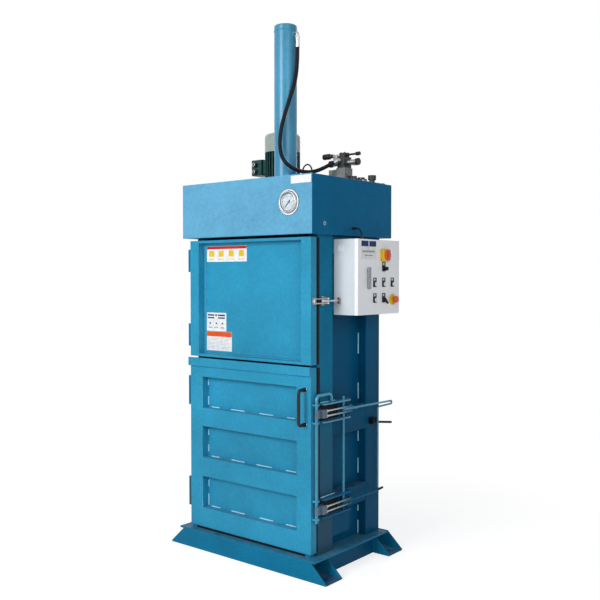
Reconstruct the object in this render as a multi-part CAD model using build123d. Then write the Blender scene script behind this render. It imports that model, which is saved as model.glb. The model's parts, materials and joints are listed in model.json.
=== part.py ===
from build123d import *
import math
import os

# A vertical recycling baler. Millimetres, +X to the machine's right, +Y to its back, +Z up.
# The origin is on the floor, in the middle of the four anchor holes of the two feet.

# Body: welded chamber of two sides and a back, with its corner posts outside the sheets
body_half_width = 445.0
body_front = -266.0
body_back = 311.0
sheet_thickness = 6.0
post_depth = 54.0
post_wall = 8.0
front_post_width = 132.0
rear_post_width = 135.0
rear_wall_y = 251.0
post_bend_radius = 5.0

# Heights of the main levels above the floor
foot_height = 98.0
base_plate_thickness = 10.0
chamber_top = 1786.0
lower_door_top = 1094.0
upper_door_bottom = 1108.0
upper_door_top = 1772.0
head_cover_height = 306.0

# Horizontal ribs between the posts, each as bottom and top height
side_ribs = [(308.0, 410.0), (714.0, 855.0), (1385.0, 1445.0), (1690.0, 1786.0)]
rear_ribs = [(308.0, 410.0), (714.0, 855.0), (1200.0, 1300.0), (1690.0, 1786.0)]
rib_wall = 6.0

# Base
foot_overhang = 127.0
foot_slope = 97.0
foot_width = 140.0
foot_centre_y = 291.0
foot_wall = 10.0
anchor_hole_inset = 44.0
anchor_hole_radius = 9.0
side_beam_depth = 50.0
side_beam_overhang = 21.0
base_plate_overhang = 55.0
base_plate_rear_overhang = 5.0
door_pad_length = 40.0
door_pad_clearance = 0.4

# Chamber floor, with channels for the bale straps
floor_sheet = 8.0
strap_rib_height = 26.0
strap_channel_width = 26.0
strap_channels = 4

# Doors
door_gap = 8.0
door_thickness = 50.0
door_back_plate = 5.0
back_plate_inset = 8.0
door_floor_gap = 14.0
lower_stile = 95.0
lower_rails = [(0.0, 112.0), (294.0, 404.0), (584.0, 690.0), (869.0, 972.0)]
upper_stile = 66.0
upper_rail = 15.0
upper_lip_width = 17.0
upper_lip_thickness = 6.0
sill_height = 48.0
sill_thickness = 12.0
sill_above_door = 6.0
sill_overlap = 8.0

# Door hinges on the left
hinge_axis_offset = 13.0
knuckle_radius = 12.4
hinge_pin_radius = 7.0
hinge_play = 0.05
knuckle_gap = 1.0
leaf_thickness = 7.0
leaf_width = 30.0
upper_hinges = [(1593.0, 1723.0), (1164.0, 1294.0)]
lower_hinges = [(821.0, 991.0), (230.0, 400.0)]

# Bridge handle on the lower door
handle_inset = 40.0
handle_height = 890.0
handle_span = 182.0
handle_reach = 50.0
handle_radius = 9.0

# Lock of the lower door: catch bar on the door, toggle lever and two hooks on the body
catch_reach = 17.0
catch_setback = 23.0
catch_radius = 9.0
catch_overhang = 16.0
catch_rise = 94.0
catch_bend_length = 127.0
lock_heights = [856.0, 356.0]
lock_plate_spread = 47.0
lock_plate_thickness = 8.0
lug_radius = 16.0
bracket_edge = 18.0
bracket_tail = 65.0
lock_plate_tail = 87.0
lock_plate_drop = 132.0
pivot_reach = 23.0
pivot_setback = 196.0
pivot_rod_radius = 7.0
pivot_rod_overhang = 18.0
crank_length = 60.0
hook_pin_reach = 25.0
hook_pin_radius = 5.0
crank_thickness = 12.0
hook_leg_reach = 42.0
hook_leg_spread = 13.0
hook_leg_radius = 5.0
hook_eye_radius = 12.0
hook_back_clearance = 6.5
hook_lip_clearance = 1.5
hook_lip_thickness = 5.0
lever_bar_radius = 5.5
lever_bar_reach = 39.0
lever_bar_setback = 73.0
loop_length = 133.0
loop_lean = 6.0
loop_spacing = 17.0
grip_drop = 110.0
grip_length = 122.0
grip_core_radius = 4.0
grip_radius = 6.5
rest_clearance = 0.5
rest_half_height = 17.0
rest_width = 44.0

# Toggle latch of the upper door
latch_height = 1440.0
latch_pivot_reach = 13.0
latch_pivot_setback = 26.0
bail_pin_reach = 22.0
bail_pin_setback = 60.0
bail_radius = 3.5
bail_spread = 12.0
latch_bar_reach = 42.0
latch_bar_setback = 124.0

# Head: tray on the posts, sheet cover over it, beams that carry the cylinder
cover_overhang = 32.5
cover_front_overhang = 88.0
cover_back_overhang = 75.0
cover_sheet = 5.0
cover_hole_radius = 7.0
cover_holes = [(-249.0, 1842.0), (-55.0, 1827.0)]
tray_plate = 12.0
tray_flange = 60.0
tray_wall = 6.0
beam_height = 100.0
beam_width = 50.0
beam_wall = 8.0

# Hydraulic cylinder
cylinder_y = 6.0
barrel_radius = 65.5
bore_radius = 52.5
stroke = 1000.0
cushion_length = 48.0
upper_port_drop = 52.0
port_boss = 7.0
elbow_reach = 22.5
elbow_drop = 83.0
ferrule_length = 54.0
cylinder_end_wall = 32.0
cylinder_flange_radius = 98.0
cylinder_flange_thickness = 30.0
gland_height = 62.0
rod_radius = 35.0
piston_height = 55.0
piston_top_gap = 5.0
sliding_play = 0.05

# Platen
platen_bottom = 1652.0
platen_rib_height = 30.0
platen_plate = 12.0
platen_frame_height = 66.0
platen_play = 10.0

# Power unit on the head
tank_end_gap = 47.5
tank_depth = 204.0
tank_back_gap = 14.0
tank_wall = 4.0
breather_place = (425.0, 262.0)
breather_radius = 23.0
filter_place = (345.0, 268.0)
filter_radius = 34.0
lid_thickness = 10.0
lid_overhang = 8.0
motor_x = -215.0
motor_y = 232.0
motor_radius = 108.0
motor_core_radius = 95.0
motor_body_height = 205.0
motor_flange_height = 16.0
cowl_height = 112.0
cowl_wall = 2.5
fin_count = 30
fin_thickness = 3.5
shaft_radius = 14.0
bell_length = 90.0
bell_radius = 50.0
bell_spigot_radius = 54.0
bell_spigot_depth = 10.0
pump_length = 100.0
pump_half_width = 42.0
pump_half_depth = 48.0
suction_pipe_radius = 14.0
suction_pipe_offset = 20.0
fan_radius = 92.0
fan_blades = 7
manifold_x = 258.0
manifold_front = 185.0
manifold_width = 60.0
manifold_depth = 80.0
manifold_height = 88.0
port_block_height = 14.0
valve_height = 52.0
solenoid_radius = 16.0
solenoid_length = 62.0

# Pressure gauge on the head cover
gauge_x = 324.0
gauge_z = 1952.0
gauge_flange_radius = 67.0
gauge_case_radius = 50.0
gauge_case_depth = 42.0
gauge_proud = 14.0
needle_length = 40.0

# Control box on the right side
box_front_setback = 140.0
box_size = 400.0
box_bottom = 1364.0
box_depth = 135.0
box_sheet = 2.0
box_door_depth = 19.5
box_door_gap = 0.5
box_hinge_radius = 5.0
box_hinge_height = 45.0
column_offsets = [-43.0, 43.0, 129.0]
row_heights = [162.0, 78.0]
key_switch_height = 246.0
main_switch_height = 319.0
bezel_radius = 14.5
bezel_height = 7.0
legend_width = 30.0
legend_height = 50.0
legend_thickness = 2.5
button_radius = 10.8
button_travel = 4.0
button_play = 0.3
box_lock_inset = 92.0
box_lock_height = 195.0

# Hoses and the cable: diameters and routes. The points are the corners of each route.
main_hose_diameter = 22.0
gauge_line_diameter = 8.0
box_cable_diameter = 8.0
main_hose_route = [
    (88, 6, 2865), (88, 6, 2775), (87, -14, 2665), (71, -46, 2560), (48, -74, 2452), (33, -85, 2352),
    (41, -91, 2268), (71, -92, 2212), (109, -68, 2174), (142, -22, 2156), (169, 36, 2157), (200, 92, 2178),
    (236, 150, 2217),
]
gauge_line_route = [
    (250, -151, 2104), (250, -151, 2127), (254, -151, 2149), (266, -150, 2166), (283, -149, 2172),
    (300, -149, 2166), (312, -148, 2149), (316, -148, 2127), (316, -148, 2104),
]
# The cable's corners are given from the cover's side, the box's front edge and the box's top
box_cable_offsets = [
    (15.5, 129, 62), (28, 129, 62), (40.5, 131, 57), (49, 133, 47), (52.5, 135, 33.5), (52.5, 135, 20),
]

# Levels and planes that follow from the sizes above
deck = foot_height + base_plate_thickness
cover_top = chamber_top + head_cover_height
inner_half_width = body_half_width - post_depth - sheet_thickness
sheet_outer = body_half_width - post_depth
foot_half_length = body_half_width + foot_overhang
anchor_hole_x = foot_half_length - anchor_hole_inset
door_half_width = body_half_width
door_back = body_front - door_gap
door_front = door_back - door_thickness
lower_door_bottom = deck + door_floor_gap
front_post_rear = body_front + front_post_width
rear_post_front = body_back - rear_post_width
hinge_x = -body_half_width - hinge_axis_offset
hinge_y = body_front - door_gap / 2
catch_x = door_half_width + catch_reach
catch_y = door_back - catch_setback
lever_pivot_x = body_half_width + pivot_reach
lever_pivot_y = body_front + pivot_setback
hook_pin_x = body_half_width + hook_pin_reach
hook_pin_y = lever_pivot_y + crank_length
hook_leg_x = body_half_width + hook_leg_reach
lever_bar_x = body_half_width + lever_bar_reach
lever_bar_y = body_back - lever_bar_setback
latch_pivot_x = body_half_width + latch_pivot_reach
latch_pivot_y = body_front + latch_pivot_setback
bail_pin_x = body_half_width + bail_pin_reach
bail_pin_y = body_front + bail_pin_setback
bail_front_y = door_front + 2
cover_half_width = body_half_width + cover_overhang
cover_front = body_front - cover_front_overhang
cover_back = body_back + cover_back_overhang
tray_top = chamber_top + tray_plate
cylinder_top = tray_top + gland_height + cushion_length + stroke + piston_height + piston_top_gap + cylinder_end_wall
lid_top = cover_top + lid_thickness
tank_half_width = cover_half_width - tank_end_gap
tank_back = cover_back - tank_back_gap
tank_front = tank_back - tank_depth
box_back_x = body_half_width
box_rim_x = box_back_x + box_depth
box_face_x = box_rim_x + box_door_gap + box_door_depth
box_front_y = body_front + box_front_setback
box_rear_y = box_front_y + box_size
box_top = box_bottom + box_size
box_middle_y = box_front_y + box_size / 2
device_columns = [box_middle_y + offset for offset in column_offsets]
device_rows = [box_bottom + height for height in row_heights]
key_switch_z = box_bottom + key_switch_height
main_switch_z = box_bottom + main_switch_height
box_lock_y = box_front_y + box_lock_inset
box_lock_z = box_bottom + box_lock_height
box_cable_route = [(cover_half_width + x, box_front_y + y, box_top + z) for x, y, z in box_cable_offsets]

nodes = {}


def block(x, y, z):
    """A box from its (low, high) pairs."""
    size = (x[1] - x[0], y[1] - y[0], z[1] - z[0])
    middle = ((x[0] + x[1]) / 2, (y[0] + y[1]) / 2, (z[0] + z[1]) / 2)
    return Pos(*middle) * Box(*size)


def upright(x, y, z, radius):
    """A vertical cylinder between the two heights of z."""
    return Pos(x, y, (z[0] + z[1]) / 2) * Cylinder(radius, z[1] - z[0])


def along_x(x, y, z, radius):
    """A cylinder along X between the two places of x."""
    return Pos((x[0] + x[1]) / 2, y, z) * Rot(0, 90, 0) * Cylinder(radius, x[1] - x[0])


def along_y(x, y, z, radius):
    """A cylinder along Y between the two places of y."""
    return Pos(x, (y[0] + y[1]) / 2, z) * Rot(90, 0, 0) * Cylinder(radius, y[1] - y[0])


def prism_xz(points, y):
    """A plate with its outline in X and Z, between the two places of y."""
    plane = Plane.XZ.offset(-y[1])
    return extrude(plane * Polygon(*points, align=None), amount=y[1] - y[0], dir=(0, -1, 0))


def prism_xy(points, z):
    """A plate with its outline in X and Y, between the two heights of z."""
    outline = Plane.XY.offset(z[0]) * Polygon(*points, align=None)
    return extrude(outline, amount=z[1] - z[0], dir=(0, 0, 1))


def link_plate(first, second, radius, z):
    """A flat link with round ends about two points in X and Y."""
    length = math.dist(first, second)
    angle = math.degrees(math.atan2(second[1] - first[1], second[0] - first[0]))
    middle = ((first[0] + second[0]) / 2, (first[1] + second[1]) / 2, z[0])
    slot = SlotCenterToCenter(length, 2 * radius)
    return Pos(*middle) * Rot(0, 0, angle) * extrude(slot, amount=z[1] - z[0])


def hexagon_upright(x, y, z, radius):
    """A hexagonal head or nut with its axis upright."""
    return Pos(x, y, z[0]) * extrude(RegularPolygon(radius, 6), amount=z[1] - z[0])


def mirrored(shape):
    """The same piece on the machine's other side."""
    return mirror(shape, about=Plane.YZ)


def bent_bar(points, radii, radius):
    """A round bar along straight runs joined by arcs."""
    path = FilletPolyline(*points, radius=radii)
    direction = Vector(*points[1]) - Vector(*points[0])
    profile = Plane(origin=points[0], z_dir=direction) * Circle(radius)
    return sweep(profile, path=path)


def cord_radii(points):
    """For each corner of a cord's route, the largest arc that its two runs allow."""
    radii = []
    for before, corner, after in zip(points, points[1:], points[2:]):
        incoming = Vector(*corner) - Vector(*before)
        outgoing = Vector(*after) - Vector(*corner)
        turn = math.radians(incoming.get_angle(outgoing))
        shorter = min(incoming.length, outgoing.length)
        radii.append(0.45 * shorter / math.tan(turn / 2))
    return radii


def cord(name, points, diameter):
    """A hose or cable as a plain tube; its bend radii and its volume are printed."""
    radii = cord_radii(points)
    tube = bent_bar(points, radii, diameter / 2)
    path_length = FilletPolyline(*points, radius=radii).length
    expected = math.pi * diameter**2 / 4 * path_length
    print(name, "length", round(path_length), "radii", [round(value) for value in radii])
    print(name, "volume ratio", round(tube.volume / expected, 4))
    return tube


def node(name, *shapes):
    """Keep one named node: every solid of the shapes given."""
    solids = []
    for shape in shapes:
        solids.extend(shape.solids())
    nodes[name] = solids


def channel_along_y(x, y, z, wall, open_side):
    """A channel section along Y, open towards -1 or +1 in X."""
    body = block(x, y, z)
    hollow_x = (x[0], x[1] - wall) if open_side < 0 else (x[0] + wall, x[1])
    return body - block(hollow_x, y, (z[0] + wall, z[1] - wall))


def feet():
    """Two upturned channels across the front and back, with sloped open ends and anchor holes."""
    outline = [
        (-foot_half_length, foot_wall), (foot_half_length, foot_wall),
        (foot_half_length - foot_slope, foot_height), (foot_slope - foot_half_length, foot_height),
    ]
    made = []
    for side in (-1, 1):
        centre = side * foot_centre_y
        low = centre - foot_width / 2
        high = centre + foot_width / 2
        foot = block((-foot_half_length, foot_half_length), (low, high), (0, foot_wall))
        foot += prism_xz(outline, (low, low + foot_wall))
        foot += prism_xz(outline, (high - foot_wall, high))
        for x in (-anchor_hole_x, anchor_hole_x):
            foot -= upright(x, centre, (0, foot_wall), anchor_hole_radius)
        made.append(foot)
    return made


def side_beams():
    """Channels along the sides between the feet, open inwards."""
    reach = foot_centre_y - foot_width / 2
    outer = body_half_width + side_beam_overhang
    x = (outer - side_beam_depth, outer)
    beam = channel_along_y(x, (-reach, reach), (0, foot_height), foot_wall, -1)
    return [beam, mirrored(beam)]


def base_plate():
    """The plate under the chamber, with two pads that the lower door rests over."""
    front = -foot_centre_y - foot_width / 2
    half = body_half_width + base_plate_overhang
    rear = body_back + base_plate_rear_overhang
    plate = block((-half, half), (front, rear), (foot_height, deck))
    pad_top = lower_door_bottom - door_pad_clearance
    pad_x = (door_half_width - door_pad_length, door_half_width - door_pad_length / 5)
    pad = block(pad_x, (door_front + 6, door_back - 12), (deck, pad_top))
    return plate + pad + mirrored(pad)


def strap_ribs(half_width, y, z):
    """Bars side by side with a strap channel between each two."""
    ribs = strap_channels + 1
    rib_width = (2 * half_width - strap_channels * strap_channel_width) / ribs
    bars = []
    for index in range(ribs):
        left = -half_width + index * (rib_width + strap_channel_width)
        bars.append(block((left, left + rib_width), y, z))
    return bars


def chamber_floor():
    """Floor sheet with raised bars; the straps are threaded through the channels between them."""
    y = (body_front + 2, rear_wall_y)
    sheet_top = deck + floor_sheet
    floor = block((-inner_half_width, inner_half_width), y, (deck, sheet_top))
    for bar in strap_ribs(inner_half_width, y, (sheet_top, sheet_top + strap_rib_height)):
        floor += bar
    return floor


def chamber_walls():
    """Two side sheets and the rear sheet."""
    side_y = (body_front, body_back - post_wall)
    side = block((inner_half_width, sheet_outer), side_y, (deck, chamber_top))
    rear_y = (rear_wall_y, rear_wall_y + sheet_thickness)
    rear = block((-inner_half_width, inner_half_width), rear_y, (deck, chamber_top))
    return [side, mirrored(side), rear]


def post(y):
    """A folded channel over the side sheet, closed outwards, with rounded bends."""
    x = (sheet_outer, body_half_width)
    z = (deck, chamber_top)
    shell = block(x, y, z)
    corners = shell.edges().filter_by(Axis.Z).group_by(Axis.X)[-1]
    shell = fillet(corners, post_bend_radius)
    return shell - block((x[0], x[1] - post_wall), (y[0] + post_wall, y[1] - post_wall), z)


def corner_posts():
    """Four posts outside the sheets."""
    front = post((body_front, front_post_rear))
    rear = post((rear_post_front, body_back))
    return [front, mirrored(front), rear, mirrored(rear)]


def wall_ribs():
    """Channels that stiffen the side and rear sheets, and the plates that carry the lock."""
    x = (sheet_outer, body_half_width)
    made = []
    for low, high in side_ribs:
        rib = channel_along_y(x, (front_post_rear, rear_post_front), (low, high), rib_wall, -1)
        made += [rib, mirrored(rib)]
    rear_y = (rear_wall_y + sheet_thickness, body_back)
    for low, high in rear_ribs:
        rear_x = (-inner_half_width, inner_half_width)
        rib = block(rear_x, rear_y, (low, high))
        hollow_y = (rear_y[0], rear_y[1] - rib_wall)
        made.append(rib - block(rear_x, hollow_y, (low + rib_wall, high - rib_wall)))
    plate_x = (body_half_width - post_wall, body_half_width)
    plate_rear = lever_pivot_y + lock_plate_tail
    upper_z = (side_ribs[1][1], lock_heights[0] + lock_plate_spread + lock_plate_thickness / 2)
    lower_z = (side_ribs[0][0] - lock_plate_drop, side_ribs[0][0])
    for z in (upper_z, lower_z):
        made.append(block(plate_x, (front_post_rear, plate_rear), z))
    return made


def hinge_knuckles(spans, parts):
    """Hinge barrels on the left; parts are the (start, end) shares of each span in Z."""
    made = []
    for low, high in spans:
        for start, end in parts:
            bottom = low + start * (high - low) + knuckle_gap / 2
            top = low + end * (high - low) - knuckle_gap / 2
            made.append((bottom, top))
    return made


def knuckle(z, leaf_y):
    """One barrel of a hinge with the leaf that is welded to the door or to the post."""
    barrel = upright(hinge_x, hinge_y, z, knuckle_radius)
    leaf_x = (-body_half_width - leaf_thickness, -body_half_width)
    barrel += block(leaf_x, leaf_y, z)
    return barrel - upright(hinge_x, hinge_y, z, hinge_pin_radius + hinge_play)


def door_leaf_y():
    """Where a hinge leaf lies along the door's left edge."""
    return (door_back - leaf_width, door_back - 0.5)


def door_hinges():
    """The fixed middle barrels on the left front post, and the four pins."""
    leaf_y = (body_front + 0.5, body_front + leaf_width)
    made = []
    for low, high in hinge_knuckles(upper_hinges + lower_hinges, [(0.3, 0.7)]):
        made.append(knuckle((low, high), leaf_y))
    for low, high in upper_hinges + lower_hinges:
        pin = upright(hinge_x, hinge_y, (low, high + 3), hinge_pin_radius)
        pin += upright(hinge_x, hinge_y, (high, high + 5), hinge_pin_radius + 3)
        made.append(pin)
    return made


def door_knuckles(spans):
    """The end barrels of each hinge, welded to the door."""
    made = []
    for low, high in hinge_knuckles(spans, [(0.0, 0.3), (0.7, 1.0)]):
        made.append(knuckle((low, high), door_leaf_y()))
    return made


def back_plate(z):
    """The sheet behind a door's frame, set in from its edges."""
    edge = door_half_width - back_plate_inset
    return block((-edge, edge), (door_back, door_back + door_back_plate), (z[0] + back_plate_inset, z[1] - back_plate_inset))


def catch_lugs():
    """Four lugs on the lower door's right edge that hold the catch bar."""
    lugs = []
    half = lock_plate_thickness / 2
    for height in lock_heights:
        for side in (-1, 1):
            z = (height + side * lock_plate_spread - half, height + side * lock_plate_spread + half)
            lug = block((door_half_width, catch_x), (catch_y - lug_radius, catch_y + lug_radius), z)
            lug += upright(catch_x, catch_y, z, lug_radius)
            lugs.append(lug - upright(catch_x, catch_y, z, catch_radius + sliding_play))
    return lugs


def lower_door():
    """Welded door of box section rails and stiles with three deep panels and a sill on top."""
    bottom = lower_door_bottom
    z = (bottom, lower_door_top)
    door = block((-door_half_width, door_half_width), (door_front, door_back), z)
    open_x = (-door_half_width + lower_stile, door_half_width - lower_stile)
    for below, above in zip(lower_rails, lower_rails[1:]):
        door -= block(open_x, (door_front, door_back), (bottom + below[1], bottom + above[0]))
    door += back_plate(z)
    sill_z = (lower_door_top + sill_above_door - sill_height, lower_door_top + sill_above_door)
    sill_x = (-door_half_width - sill_overlap, door_half_width)
    door += block(sill_x, (door_front - sill_thickness, door_front), sill_z)
    for piece in door_knuckles(lower_hinges):
        door += piece
    return door


def upper_door():
    """Door of the feed opening: wide stiles, thin rails and one panel behind an inner lip."""
    z = (upper_door_bottom, upper_door_top)
    door = block((-door_half_width, door_half_width), (door_front, door_back), z)
    open_x = (-door_half_width + upper_stile, door_half_width - upper_stile)
    open_z = (z[0] + upper_rail, z[1] - upper_rail)
    door -= block(open_x, (door_front, door_back - upper_lip_thickness), open_z)
    lip_x = (open_x[0] + upper_lip_width, open_x[1] - upper_lip_width)
    lip_z = (open_z[0] + upper_lip_width, open_z[1] - upper_lip_width)
    door -= block(lip_x, (door_back - upper_lip_thickness, door_back), lip_z)
    door += back_plate(z)
    for piece in door_knuckles(upper_hinges):
        door += piece
    return door


def door_handle():
    """Bridge handle: a round grip on two bent legs with flat feet."""
    handle_x = door_half_width - handle_inset
    low = handle_height - handle_span / 2
    high = handle_height + handle_span / 2
    outer = door_front - handle_reach
    points = [
        (handle_x, door_front, low), (handle_x, outer, low), (handle_x, outer, high), (handle_x, door_front, high),
    ]
    grip = bent_bar(points, 2 * handle_radius, handle_radius)
    for height in (low, high):
        grip += along_y(handle_x, (door_front - 5, door_front), height, handle_radius + 4)
    return grip


def catch_bar():
    """Long bar in the four lugs, bent back at its top over the bracket."""
    half = lock_plate_thickness / 2
    low = lock_heights[1] - lock_plate_spread - half - catch_overhang
    high = lock_heights[0] + catch_rise
    end = lock_heights[0] + lock_plate_spread + half + 3
    rear = catch_y + catch_bend_length
    points = [(catch_x, catch_y, low), (catch_x, catch_y, high), (catch_x, rear, high), (catch_x, rear, end)]
    return bent_bar(points, 24, catch_radius)


def lock_brackets():
    """Four plates on the front post that carry the lever's pivot rod."""
    half = lock_plate_thickness / 2
    made = []
    outer = lever_pivot_x + bracket_edge
    rear = lever_pivot_y + bracket_tail
    for height in lock_heights:
        for side in (-1, 1):
            middle = height + side * lock_plate_spread
            points = [
                (body_half_width, body_front + 6), (outer - 12, body_front + 6), (outer, body_front + 18),
                (outer, rear - 22), (outer - 22, rear), (body_half_width, rear),
            ]
            plate = prism_xy(points, (middle - half, middle + half))
            made.append(plate - upright(lever_pivot_x, lever_pivot_y, (middle - half, middle + half), pivot_rod_radius))
    return made


def pivot_rod():
    """The rod through the four plates, with a collar that the lower crank sits on."""
    low = lock_heights[1] - lock_plate_spread - lock_plate_thickness / 2 - 5
    high = lock_heights[0] + lock_plate_spread + lock_plate_thickness / 2 + pivot_rod_overhang
    rod = upright(lever_pivot_x, lever_pivot_y, (low, high), pivot_rod_radius)
    seat = lock_heights[1] - crank_thickness / 2 - 0.3
    return rod + upright(lever_pivot_x, lever_pivot_y, (seat - 8, seat), pivot_rod_radius + 4)


def lock_lever():
    """Two cranks on the pivot rod, joined by one long bent bar that ends in a flat hairpin."""
    upper, lower = lock_heights
    root_y = hook_pin_y + 30
    tip_x = lever_bar_x + loop_lean
    tip_y = lever_bar_y + loop_length
    tip_z = upper - 4
    points = [
        (lever_bar_x, root_y, upper), (tip_x, tip_y, tip_z), (tip_x, tip_y, tip_z - loop_spacing),
        (lever_bar_x, lever_bar_y, tip_z - loop_spacing - 3), (lever_bar_x, lever_bar_y, lower),
        (lever_bar_x, root_y, lower),
    ]
    lever = bent_bar(points, [8, 8, 13, 20], lever_bar_radius)
    half = crank_thickness / 2
    pivot = (lever_pivot_x, lever_pivot_y)
    pin = (hook_pin_x, hook_pin_y)
    for height in lock_heights:
        z = (height - half, height + half)
        lever += link_plate(pivot, pin, 14, z)
        lever += link_plate(pin, (lever_bar_x, root_y + 6), 9, z)
        lever -= upright(*pivot, z, pivot_rod_radius + sliding_play)
        reach = hook_leg_spread + hook_leg_radius + 3
        lever += upright(*pin, (height - reach, height + reach), hook_pin_radius)
    for line in (grip_line(), stub_line()):
        lever += straight_bar(line[0], line[1], grip_core_radius)
    return lever


def straight_bar(start, end, radius):
    """A round bar between two points."""
    direction = Vector(*end) - Vector(*start)
    return extrude(Plane(origin=start, z_dir=direction) * Circle(radius), amount=direction.length)


def grip_line():
    """The line of the lever's grip, from the upright bar back and slightly down."""
    height = lock_heights[0] - grip_drop
    start = (lever_bar_x, lever_bar_y, height)
    return start, (lever_bar_x + loop_lean, lever_bar_y + grip_length, height - grip_length * 0.14)


def stub_line():
    """The line of the short stub behind the lower arm."""
    height = lock_heights[1] + 2
    return (lever_bar_x, lever_bar_y - 18, height), (lever_bar_x + 2, lever_bar_y + 40, height + 6)


def lever_grip():
    """Sleeves on the lever's grip and on its stub, each closed at its outer end."""
    sleeves = []
    for line, gap in ((grip_line(), 10), (stub_line(), 26)):
        start, end = (Vector(*point) for point in line)
        step = (end - start).normalized()
        sleeve = straight_bar(start + step * gap, end + step * 6, grip_radius)
        sleeves.append(sleeve - straight_bar(start, end, grip_core_radius))
    return sleeves


def lever_rest():
    """Buffer on the side that stops the closed lever."""
    outer = lever_bar_x - lever_bar_radius - rest_clearance
    middle = lock_heights[0] - grip_drop + 8
    y = (lever_bar_y - rest_width + 8, lever_bar_y + 8)
    buffer = block((body_half_width, outer), y, (middle - rest_half_height, middle + rest_half_height))
    edges = buffer.faces().sort_by(Axis.X)[-1].edges()
    return chamfer(edges, 3)


def lock_hooks():
    """Two jaws that draw on the catch bar, each with its pair of threaded legs and eyes."""
    made = []
    front = catch_y + catch_radius + hook_back_clearance
    cheek = (catch_x + catch_radius + 3, catch_x + catch_radius + 12)
    lip = catch_y - catch_radius - hook_lip_clearance
    for height in lock_heights:
        z = (height - 21, height + 21)
        jaw = block((catch_x - 10, hook_leg_x + 9), (front, front + 32), z)
        jaw += block(cheek, (lip - hook_lip_thickness, front), z)
        jaw += block((catch_x, cheek[0]), (lip - hook_lip_thickness, lip), (height - 12, height + 12))
        for side in (-1, 1):
            middle = height + side * hook_leg_spread
            leg_rear = hook_pin_y - 18
            jaw += along_y(hook_leg_x, (front + 30, leg_rear), middle, hook_leg_radius)
            nut = Rot(90, 0, 0) * extrude(RegularPolygon(9.5, 6), amount=9)
            jaw += Pos(hook_leg_x, front + 41, middle) * nut
            eye_z = (middle - hook_leg_radius, middle + hook_leg_radius)
            jaw += link_plate((hook_leg_x, leg_rear), (hook_pin_x, hook_pin_y), hook_leg_radius, eye_z)
            jaw += upright(hook_pin_x, hook_pin_y, eye_z, hook_eye_radius)
            jaw -= upright(hook_pin_x, hook_pin_y, eye_z, hook_pin_radius + sliding_play)
        made.append(jaw)
    return made


def latch_base():
    """Plate with two ears and a pin on the front post."""
    x = (body_half_width, body_half_width + 4)
    y = (body_front + 4, latch_pivot_y + 56)
    base = block(x, y, (latch_height - 23, latch_height + 23))
    for side in (-1, 1):
        edge = latch_height + side * 21.5
        ear = block((x[1], latch_pivot_x + 5), (y[0] + 6, latch_pivot_y + 12), (edge - 1.5, edge + 1.5))
        base += ear
    return base + upright(latch_pivot_x, latch_pivot_y, (latch_height - 23, latch_height + 23), 3)


def latch_lever():
    """Lever of the toggle latch, with a round shank and a T grip."""
    z = (latch_height - 6.5, latch_height + 6.5)
    latch_bar_x = body_half_width + latch_bar_reach
    latch_bar_y = body_front + latch_bar_setback
    pivot = (latch_pivot_x, latch_pivot_y)
    pin = (bail_pin_x, bail_pin_y)
    lever = link_plate(pivot, pin, 8, z)
    lever += straight_bar((*pin, latch_height), (latch_bar_x, latch_bar_y, latch_height), 5)
    lever -= upright(*pivot, z, 3 + sliding_play)
    lever += upright(*pin, (latch_height - 17, latch_height + 17), 3)
    return lever + upright(latch_bar_x, latch_bar_y, (latch_height - 17, latch_height + 17), 5.5)


def latch_bail():
    """U-shaped bail of the toggle latch, with an eye on each leg."""
    low = latch_height - bail_spread
    high = latch_height + bail_spread
    rear = bail_pin_y - 6
    points = [
        (bail_pin_x, rear, low), (bail_pin_x, bail_front_y, low), (bail_pin_x, bail_front_y, high),
        (bail_pin_x, rear, high),
    ]
    bail = bent_bar(points, 7, bail_radius)
    for height in (low, high):
        z = (height - bail_radius - 0.5, height + bail_radius + 0.5)
        bail += upright(bail_pin_x, bail_pin_y, z, 7)
        bail -= upright(bail_pin_x, bail_pin_y, z, 3 + sliding_play)
    return bail


def latch_keeper():
    """Keeper on the upper door's edge that the bail pulls on."""
    outer = bail_pin_x - bail_radius - 1
    z = (latch_height - 18, latch_height + 18)
    y = (bail_front_y + 8, door_back - 8)
    keeper = block((door_half_width, door_half_width + 4), y, z)
    lip_z = (latch_height - 7, latch_height + 7)
    points = [(door_half_width + 4, y[0]), (outer, y[0]), (outer, y[0] + 5), (door_half_width + 4, y[0] + 16)]
    return keeper + prism_xy(points, lip_z)


def head_frame():
    """Tray on top of the posts and the two channels across it that carry the cylinder."""
    half = cover_half_width - cover_sheet
    y = (cover_front + cover_sheet, cover_back - cover_sheet)
    z = (chamber_top, tray_top + tray_flange)
    tray = block((-half, half), y, z)
    tray -= block((-half + tray_wall, half - tray_wall), (y[0] + tray_wall, y[1] - tray_wall), (tray_top, z[1]))
    tray -= upright(0, cylinder_y, (chamber_top, tray_top), rod_radius + 10)
    for hole_y, hole_z in cover_holes:
        tray -= along_x((-half, half), hole_y, hole_z, cover_hole_radius)
    made = [tray]
    beam_half = half - tray_wall
    beam_z = (tray_top, tray_top + beam_height)
    for side in (-1, 1):
        near = cylinder_y + side * cylinder_flange_radius + side * 2
        far = near + side * beam_width
        low, high = sorted((near, far))
        beam = block((-beam_half, beam_half), (low, high), beam_z)
        hollow = (low, high - beam_wall) if side < 0 else (low + beam_wall, high)
        hollow_z = (beam_z[0] + beam_wall, beam_z[1] - beam_wall)
        made.append(beam - block((-beam_half, beam_half), hollow, hollow_z))
    return made


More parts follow.
